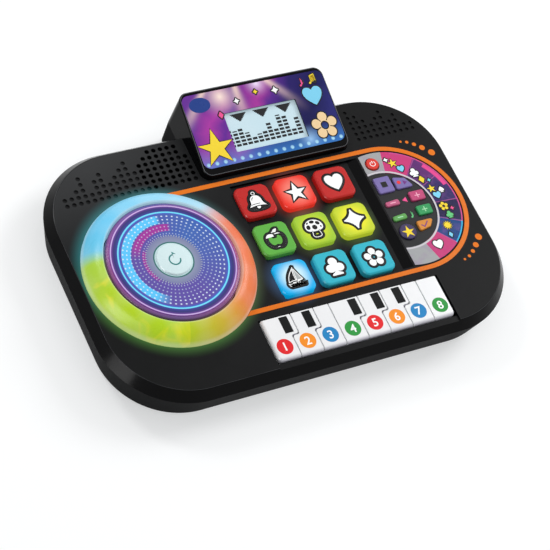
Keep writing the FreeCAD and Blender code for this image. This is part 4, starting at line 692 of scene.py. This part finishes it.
# For each sign on the film: its turn in degrees, its distance from the middle, itself, height and ink.
FIELD_SIGNS = (
    (66.0, 36.6, "★", 6.4, yellow_ink), (56.0, 33.4, "♥", 4.6, sky_ink),
    (72.5, 38.2, "✦", 3.4, white_ink), (41.5, 34.6, "♣", 6.4, white_ink),
    (30.5, 33.2, "♦", 5.4, yellow_ink), (24.5, 36.6, "✦", 2.8, sky_ink),
    (16.0, 33.0, "★", 5.8, yellow_ink), (5.5, 33.6, "♥", 5.0, sky_ink),
    (10.0, 38.6, "♠", 4.2, white_ink), (-9.0, 34.0, "✿", 6.0, yellow_ink),
    (-19.5, 36.6, "♣", 5.2, lime_ink), (-12.0, 39.4, "✦", 3.0, pink_ink),
    (-33.5, 35.0, "✹", 7.0, yellow_ink), (-43.0, 38.4, "♦", 4.0, sky_ink),
    (-62.0, 35.0, "♥", 6.4, white_ink))
for number, (turn, radius, letter, tall, made_of) in enumerate(FIELD_SIGNS):
    x = INNER[0] / MM + radius * math.cos(math.radians(turn))
    y = INNER[1] / MM + radius * math.sin(math.radians(turn))
    sign("field_%d_outline" % number, letter, x, y, FILM_TOP, tall, black_ink, "housing",
         line=0.75, thick=0.04)
    sign("field_%d_sign" % number, letter, x, y, FILM_TOP, tall, made_of, "housing")

pale_pink = ink("pale_pink_ink", (0.86, 0.42, 0.55))
pale_green = ink("pale_green_ink", (0.36, 0.74, 0.42))
plum_ink = ink("plum_ink", (0.16, 0.03, 0.22))
BUTTON_TOP, PANEL_TOP = 30.2, 28.8
# For each button: its colour, its sign, the sign's x, y, height and ink.
BUTTONS = {
    "button_power": ((0.78, 0.045, 0.03), "⏻", 81.3, 26.9, 4.2, white_ink),
    "button_stop": ((0.21, 0.165, 0.44), "■", 81.5, 10.3, 4.0, black_ink),
    "button_record": ((0.21, 0.165, 0.44), "▶", 96.2, 8.6, 3.2, plum_ink),
    "button_volume_down": ((0.60, 0.12, 0.25), "−", 80.8, -3.9, 0.7, pale_pink),
    "button_volume_up": ((0.60, 0.07, 0.21), "+", 99.6, -2.4, 3.8, pale_pink),
    "button_tempo_down": ((0.13, 0.42, 0.10), "−", 80.7, -14.9, 0.7, pale_green),
    "button_tempo_up": ((0.03, 0.36, 0.11), "+", 99.5, -13.3, 3.8, pale_green),
    "button_ok": ((0.76, 0.29, 0.04), "✓", 94.3, -23.8, 4.2, plum_ink),
    "button_style": ((0.05, 0.035, 0.12), "★", 80.9, -25.8, 8.4, yellow_ink),
}
for name, (colour, letter, x, y, tall, made_of) in BUTTONS.items():
    cap, tree, shader, place = material(name + "_rubber", IOR=1.45, Specular_IOR_Level=0.25)
    moulded = use(tree, grain, Place=place, Size=1400.0)
    deep = tuple(part * 0.8 for part in colour)
    tree.links.new(mix(tree, moulded["Cloud"], (*deep, 1), (*colour, 1)), shader.inputs["Base Color"])
    feel(tree, shader, moulded, 0.14, 0.3, bump=0.15)
    dress([name], cap)
    sign(name + "_sign", letter, x, y, BUTTON_TOP, tall, made_of, name + "_body")
dot_ink = ink("dot_ink", (0.80, 0.03, 0.03))
sign("button_record_dot", "●", 91.8, 9.4, BUTTON_TOP, 2.6, dot_ink, "button_record_body")
sign("volume_sign", "◀", 90.2, -3.0, PANEL_TOP, 3.8, pink_ink, "housing")
sign("tempo_sign", "♪", 90.0, -14.4, PANEL_TOP, 4.4, lime_ink, "housing", swell=0.1)

# Screen pod: a gloss black housing on the bottom shell's bulge. Its face is a printed label with a
# bare oval plate, and behind the label's window a pale liquid crystal screen shows level bars.
TILT = math.radians(13.5)
FACE_HALF = 28.5
FACE_MIDDLE = Vector((20.2, 42.5 + FACE_HALF * math.cos(TILT), 33.5 + FACE_HALF * math.sin(TILT))) * MM
pod_gloss, tree, shader, place = material("pod_abs", IOR=1.5, Specular_IOR_Level=0.06)
moulded = use(tree, grain, Place=place, Size=400.0)
pod_colour = mix(tree, moulded["Cloud"], (0.002, 0.002, 0.0024, 1), (0.005, 0.005, 0.0055, 1))
normal = tree.nodes.new("ShaderNodeNewGeometry").outputs["Normal"]
lifted = put(tree, "ShaderNodeVectorMath", {"operation": "DOT_PRODUCT"}, i0=normal,
             i1=(0, -math.sin(TILT), math.cos(TILT))).outputs["Value"]
# The pod's rounded edges are paler grey, a painted highlight.
pod_edge_highlight = maths(tree, "COMPARE", lifted, 0.875, 0.065)
tree.links.new(mix(tree, pod_edge_highlight, pod_colour, (0.13, 0.135, 0.145, 1)), shader.inputs["Base Color"])
feel(tree, shader, moulded, 0.10, 0.08)
dress(["pod_housing"], pod_gloss)


def from_face(tree, place):
    """A place measured from the middle of the pod's tilted face."""
    return put(tree, "ShaderNodeMapping", {"vector_type": "TEXTURE"}, Vector=place,
               Location=tuple(FACE_MIDDLE), Rotation=(TILT, 0, 0)).outputs[0]


face_art, tree, shader, place = material("face_art", IOR=1.5, Specular_IOR_Level=0.09)
local = from_face(tree, place)
sides = put(tree, "ShaderNodeSeparateXYZ", i0=local).outputs
along = maths(tree, "MULTIPLY_ADD", sides[0], 10.0, 0.5)
upward = maths(tree, "MULTIPLY_ADD", sides[1], 20.0, 0.5)
cloud = put(tree, "ShaderNodeTexNoise", Vector=place, Scale=45.0, Detail=4.0).outputs[0]
slant = maths(tree, "MULTIPLY_ADD", upward, -0.30, along)
slant = maths(tree, "ADD", slant, maths(tree, "MULTIPLY", cloud, 0.3))
sky = ramp(tree, slant, (
    (0.0, (0.15, 0.035, 0.32)), (0.14, (0.42, 0.05, 0.38)), (0.25, (0.14, 0.03, 0.32)),
    (0.42, (0.40, 0.045, 0.34)), (0.52, (0.10, 0.025, 0.27)), (0.64, (0.025, 0.015, 0.14)),
    (0.82, (0.012, 0.012, 0.085)), (1.0, (0.025, 0.025, 0.17))))
fan = maths(tree, "ARCTAN2", maths(tree, "SUBTRACT", upward, 1.5), maths(tree, "SUBTRACT", along, 0.38))
beams = maths(tree, "SINE", maths(tree, "MULTIPLY", fan, 15.0))
beams = maths(tree, "POWER", maths(tree, "MULTIPLY_ADD", beams, 0.5, 0.5), 9.0)
beams = maths(tree, "MULTIPLY", beams, maths(tree, "MULTIPLY_ADD", upward, 1.5, -0.65, clamp=True))
left_part = maths(tree, "MULTIPLY_ADD", along, -4.0, 3.4, clamp=True)
sky = mix(tree, maths(tree, "MULTIPLY", beams, left_part), sky, (0.98, 0.72, 0.62, 1))
for x, y, wide, glare in ((-24.0, 20.0, 17.0, (1.0, 0.80, 0.72, 1)),
                          (3.0, 24.0, 11.0, (0.90, 0.75, 1.0, 1)),
                          (26.0, -20.0, 12.0, (0.55, 0.80, 1.0, 1))):
    flare = use(tree, spot, Place=local, Middle=(x * MM, y * MM, 0), Near=0.5 * MM, Far=wide * MM)["Mask"]
    sky = mix(tree, maths(tree, "POWER", flare, 2.2), sky, glare)
low_glow = put(tree, "ShaderNodeMapRange", Value=upward, From_Min=0.30, From_Max=0.0).outputs[0]
sky = mix(tree, maths(tree, "MULTIPLY", low_glow, 0.75), sky, (0.05, 0.26, 0.72, 1))
floor_glow = use(tree, dotted, Along=maths(tree, "MULTIPLY", along, 17.0),
                 Across=maths(tree, "MULTIPLY", upward, 8.5), Size=0.14)["Mask"]
low_part = put(tree, "ShaderNodeMapRange", Value=upward, From_Min=0.16, From_Max=0.04).outputs[0]
sky = mix(tree, maths(tree, "MULTIPLY", floor_glow, low_part), sky, (0.45, 0.80, 0.98, 1))
tree.links.new(sky, shader.inputs["Base Color"])
moulded = use(tree, grain, Place=place, Size=900.0)
feel(tree, shader, moulded, 0.12, 0.14)
dress(["pod_label"], face_art)

screen, tree, shader, place = material("screen_film", IOR=1.5, Specular_IOR_Level=0.3)
sides = put(tree, "ShaderNodeSeparateXYZ", i0=from_face(tree, place)).outputs
DOT = 0.8 * MM
BAR_PITCH, RUNG_PITCH = 5.0, 3.0
BARS_FOOT = 17.0 * MM
SCREEN_BELOW, SCREEN_HALF_X, SCREEN_HALF_Y = 4.5 * MM, 24.7 * MM, 12.1 * MM
pixel_x = maths(tree, "FLOOR", maths(tree, "DIVIDE", sides[0], DOT))
pixel_y = maths(tree, "FLOOR", maths(tree, "DIVIDE", maths(tree, "ADD", sides[1], BARS_FOOT), DOT))
column = maths(tree, "FLOOR", maths(tree, "DIVIDE", pixel_x, BAR_PITCH))
tall = put(tree, "ShaderNodeTexWhiteNoise", {"noise_dimensions": "1D"}, W=column).outputs["Value"]
tall = maths(tree, "MULTIPLY_ADD", tall, 15.0, 9.0)
bars = maths(tree, "LESS_THAN", pixel_y, tall)
gaps = maths(tree, "GREATER_THAN", maths(tree, "FLOORED_MODULO", pixel_x, BAR_PITCH), 0.5)
rungs = maths(tree, "GREATER_THAN", maths(tree, "FLOORED_MODULO", pixel_y, RUNG_PITCH), 0.5)
low_line = maths(tree, "GREATER_THAN", pixel_y, 2.5)
bars = maths(tree, "MULTIPLY", maths(tree, "MULTIPLY", bars, low_line), maths(tree, "MULTIPLY", gaps, rungs))
pennants = maths(tree, "PINGPONG", maths(tree, "ADD", pixel_x, 9.5), 10.0)
pennants = maths(tree, "GREATER_THAN", maths(tree, "ADD", pixel_y, pennants), 32.5)
shown_dark = maths(tree, "MAXIMUM", bars, pennants)
beside = maths(tree, "GREATER_THAN", maths(tree, "ABSOLUTE", sides[0]), SCREEN_HALF_X)
from_middle = maths(tree, "ABSOLUTE", maths(tree, "ADD", sides[1], SCREEN_BELOW))
above = maths(tree, "GREATER_THAN", from_middle, SCREEN_HALF_Y)
border = maths(tree, "MAXIMUM", beside, above)
shown_dark = maths(tree, "MULTIPLY", shown_dark, maths(tree, "SUBTRACT", 1.0, border))
pale = mix(tree, put(tree, "ShaderNodeTexNoise", Vector=place, Scale=40.0).outputs[0],
           (0.58, 0.80, 0.90, 1), (0.70, 0.87, 0.94, 1))
shown = mix(tree, shown_dark, pale, (0.008, 0.009, 0.012, 1))
tree.links.new(mix(tree, 0.4, shown, (0, 0, 0, 1)), shader.inputs["Base Color"])
tree.links.new(shown, shader.inputs["Emission Color"])
shader.inputs["Emission Strength"].default_value = 0.35
moulded = use(tree, grain, Place=place, Size=900.0)
feel(tree, shader, moulded, 0.1, 0.1)
dress(["lcd_panel"], screen)


def on_face(x, up):
    """A place on the pod's printed face: mm from its middle line, and mm up from its low edge."""
    turn = Matrix.Rotation(TILT, 4, "X")
    middle = FACE_MIDDLE + turn @ Vector((x * MM, (up - FACE_HALF) * MM, -0.1 * MM))
    return Matrix.Translation(middle) @ turn


cream_ink = ink("cream_ink", (0.86, 0.62, 0.34))
# For each sign on the face: its name, itself, its place as on_face takes it, its height and ink.
FACE_SIGNS = (
    ("face_star", "★", -38.0, 17.5, 23.0, yellow_ink),
    ("face_flower", "✿", 39.0, 16.5, 17.0, cream_ink),
    ("face_heart", "♥", 38.5, 36.5, 12.5, sky_ink),
    ("face_notes", "♫", 41.5, 48.0, 6.6, yellow_ink),
    ("face_note", "♪", 33.5, 47.0, 5.4, pink_ink),
    ("face_spark", "✦", 14.0, 45.5, 5.0, white_ink),
    ("face_spark_2", "✦", -14.0, 43.5, 4.0, white_ink),
    ("face_spark_3", "✦", 0.5, 47.0, 3.4, yellow_ink),
    ("face_diamond", "♦", -27.5, 36.5, 4.6, pink_ink),
)
for name, letter, x, up, tall, made_of in FACE_SIGNS:
    sign(name + "_outline", letter, 0, 0, 0, tall, black_ink, "housing", line=0.8,
         thick=0.04, lean=on_face(x, up))
    sign(name, letter, 0, 0, 0, tall, made_of, "housing", lean=on_face(x, up))
plate_ink = ink("plate_ink", (0.012, 0.045, 0.24), shine=0.2)
bpy.ops.object.select_all(action="DESELECT")
bpy.ops.mesh.primitive_circle_add(vertices=64, radius=1.0, fill_type="NGON")
plate = bpy.context.object
plate.name = "face_plate"
plate.scale = (7.2 * MM, 5.0 * MM, 1)
bpy.ops.object.transform_apply(location=True, rotation=True, scale=True)
thicken()
plate.data.transform(on_face(-39.0, 45.5))
plate.data.materials.append(plate_ink)
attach(plate, "housing")

# Table, lamps and camera: a pale sheet under two soft boxes, with a third that shows only in gloss,
# as a studio reflector does. The camera looks from the front left and above through a long lens.


def rays_seen(tree):
    """1 for rays from the camera, gloss and glass, 0 for those that only bring light."""
    ray = tree.nodes.new("ShaderNodeLightPath").outputs
    through = maths(tree, "MAXIMUM", ray["Is Glossy Ray"], ray["Is Transmission Ray"])
    return maths(tree, "MAXIMUM", ray["Is Camera Ray"], through)


bpy.ops.object.select_all(action="DESELECT")
bpy.ops.mesh.primitive_plane_add(size=12, location=(0, 0, -0.0002))
table = bpy.context.object
table.name = "table"
sheet, tree, shader, place = material("table_sheet", IOR=1.3)
cloud = put(tree, "ShaderNodeTexNoise", Vector=place, Scale=3.0).outputs[0]
pale_grey = mix(tree, cloud, (0.545, 0.55, 0.555, 1), (0.565, 0.57, 0.575, 1))
tree.links.new(pale_grey, shader.inputs["Base Color"])
shader.inputs["Emission Color"].default_value = (0.98, 0.995, 1.0, 1)
tree.links.new(maths(tree, "MULTIPLY", rays_seen(tree), 0.49), shader.inputs["Emission Strength"])
shader.inputs["Roughness"].default_value = 0.85
table.data.materials.append(sheet)
table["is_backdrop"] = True

world = bpy.data.worlds.new("studio")
bpy.context.scene.world = world
world.use_nodes = True
tree = world.node_tree
toward = tree.nodes.new("ShaderNodeTexCoord").outputs["Generated"]
overhead = maths(tree, "MAXIMUM", put(tree, "ShaderNodeSeparateXYZ", i0=toward).outputs[2], 0.0)
dome = maths(tree, "MULTIPLY_ADD", overhead, 0.62, 0.16)
strength = put(tree, "ShaderNodeMix", i0=rays_seen(tree), i2=dome, i3=1.0).outputs[0]
tree.links.new(strength, tree.nodes["Background"].inputs["Strength"])
tree.nodes["Background"].inputs["Color"].default_value = (1, 1, 1, 1)


def lamp(name, place, aim, wide, deep, power):
    """A soft box that looks at a point."""
    light = bpy.data.lights.new(name, "AREA")
    light.shape = "RECTANGLE"
    light.size, light.size_y, light.energy = wide, deep, power
    made = bpy.data.objects.new(name, light)
    bpy.context.scene.collection.objects.link(made)
    made.location = place
    made.rotation_mode = "QUATERNION"
    made.rotation_quaternion = (Vector(aim) - Vector(place)).to_track_quat("-Z", "Y")
    return made


lamp("key_box", (1.1, 0.25, 0.95), (0, 0, 0), 0.6, 0.6, 9.5)
lamp("left_box", (-0.5, 0.9, 0.95), (0, 0, 0), 0.28, 0.28, 4.5)
reflector = lamp("gloss_strip", (-1.03, -0.24, 0.50), (-0.129, -0.0595, 0.024), 0.60, 0.9, 14.0)
reflector.visible_diffuse = False
reflector.visible_camera = False

camera = bpy.data.cameras.new("photo_camera")
camera.lens = 132.2
camera.sensor_width = 36.0
camera.clip_start, camera.clip_end = 0.05, 20.0
eye = bpy.data.objects.new("photo_camera", camera)
bpy.context.scene.collection.objects.link(eye)
right = Vector((0.87328, -0.40861, 0.26536)).normalized()
ahead = Vector((0.43489, 0.40818, -0.80266)).normalized()
turn = Matrix((right, right.cross(ahead).normalized(), -ahead)).transposed()
eye.matrix_world = Matrix.Translation((-0.5434, -0.5266, 1.0012)) @ turn.to_4x4()
bpy.context.scene.camera = eye
bpy.context.scene.view_settings.view_transform = "Standard"

low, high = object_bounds()
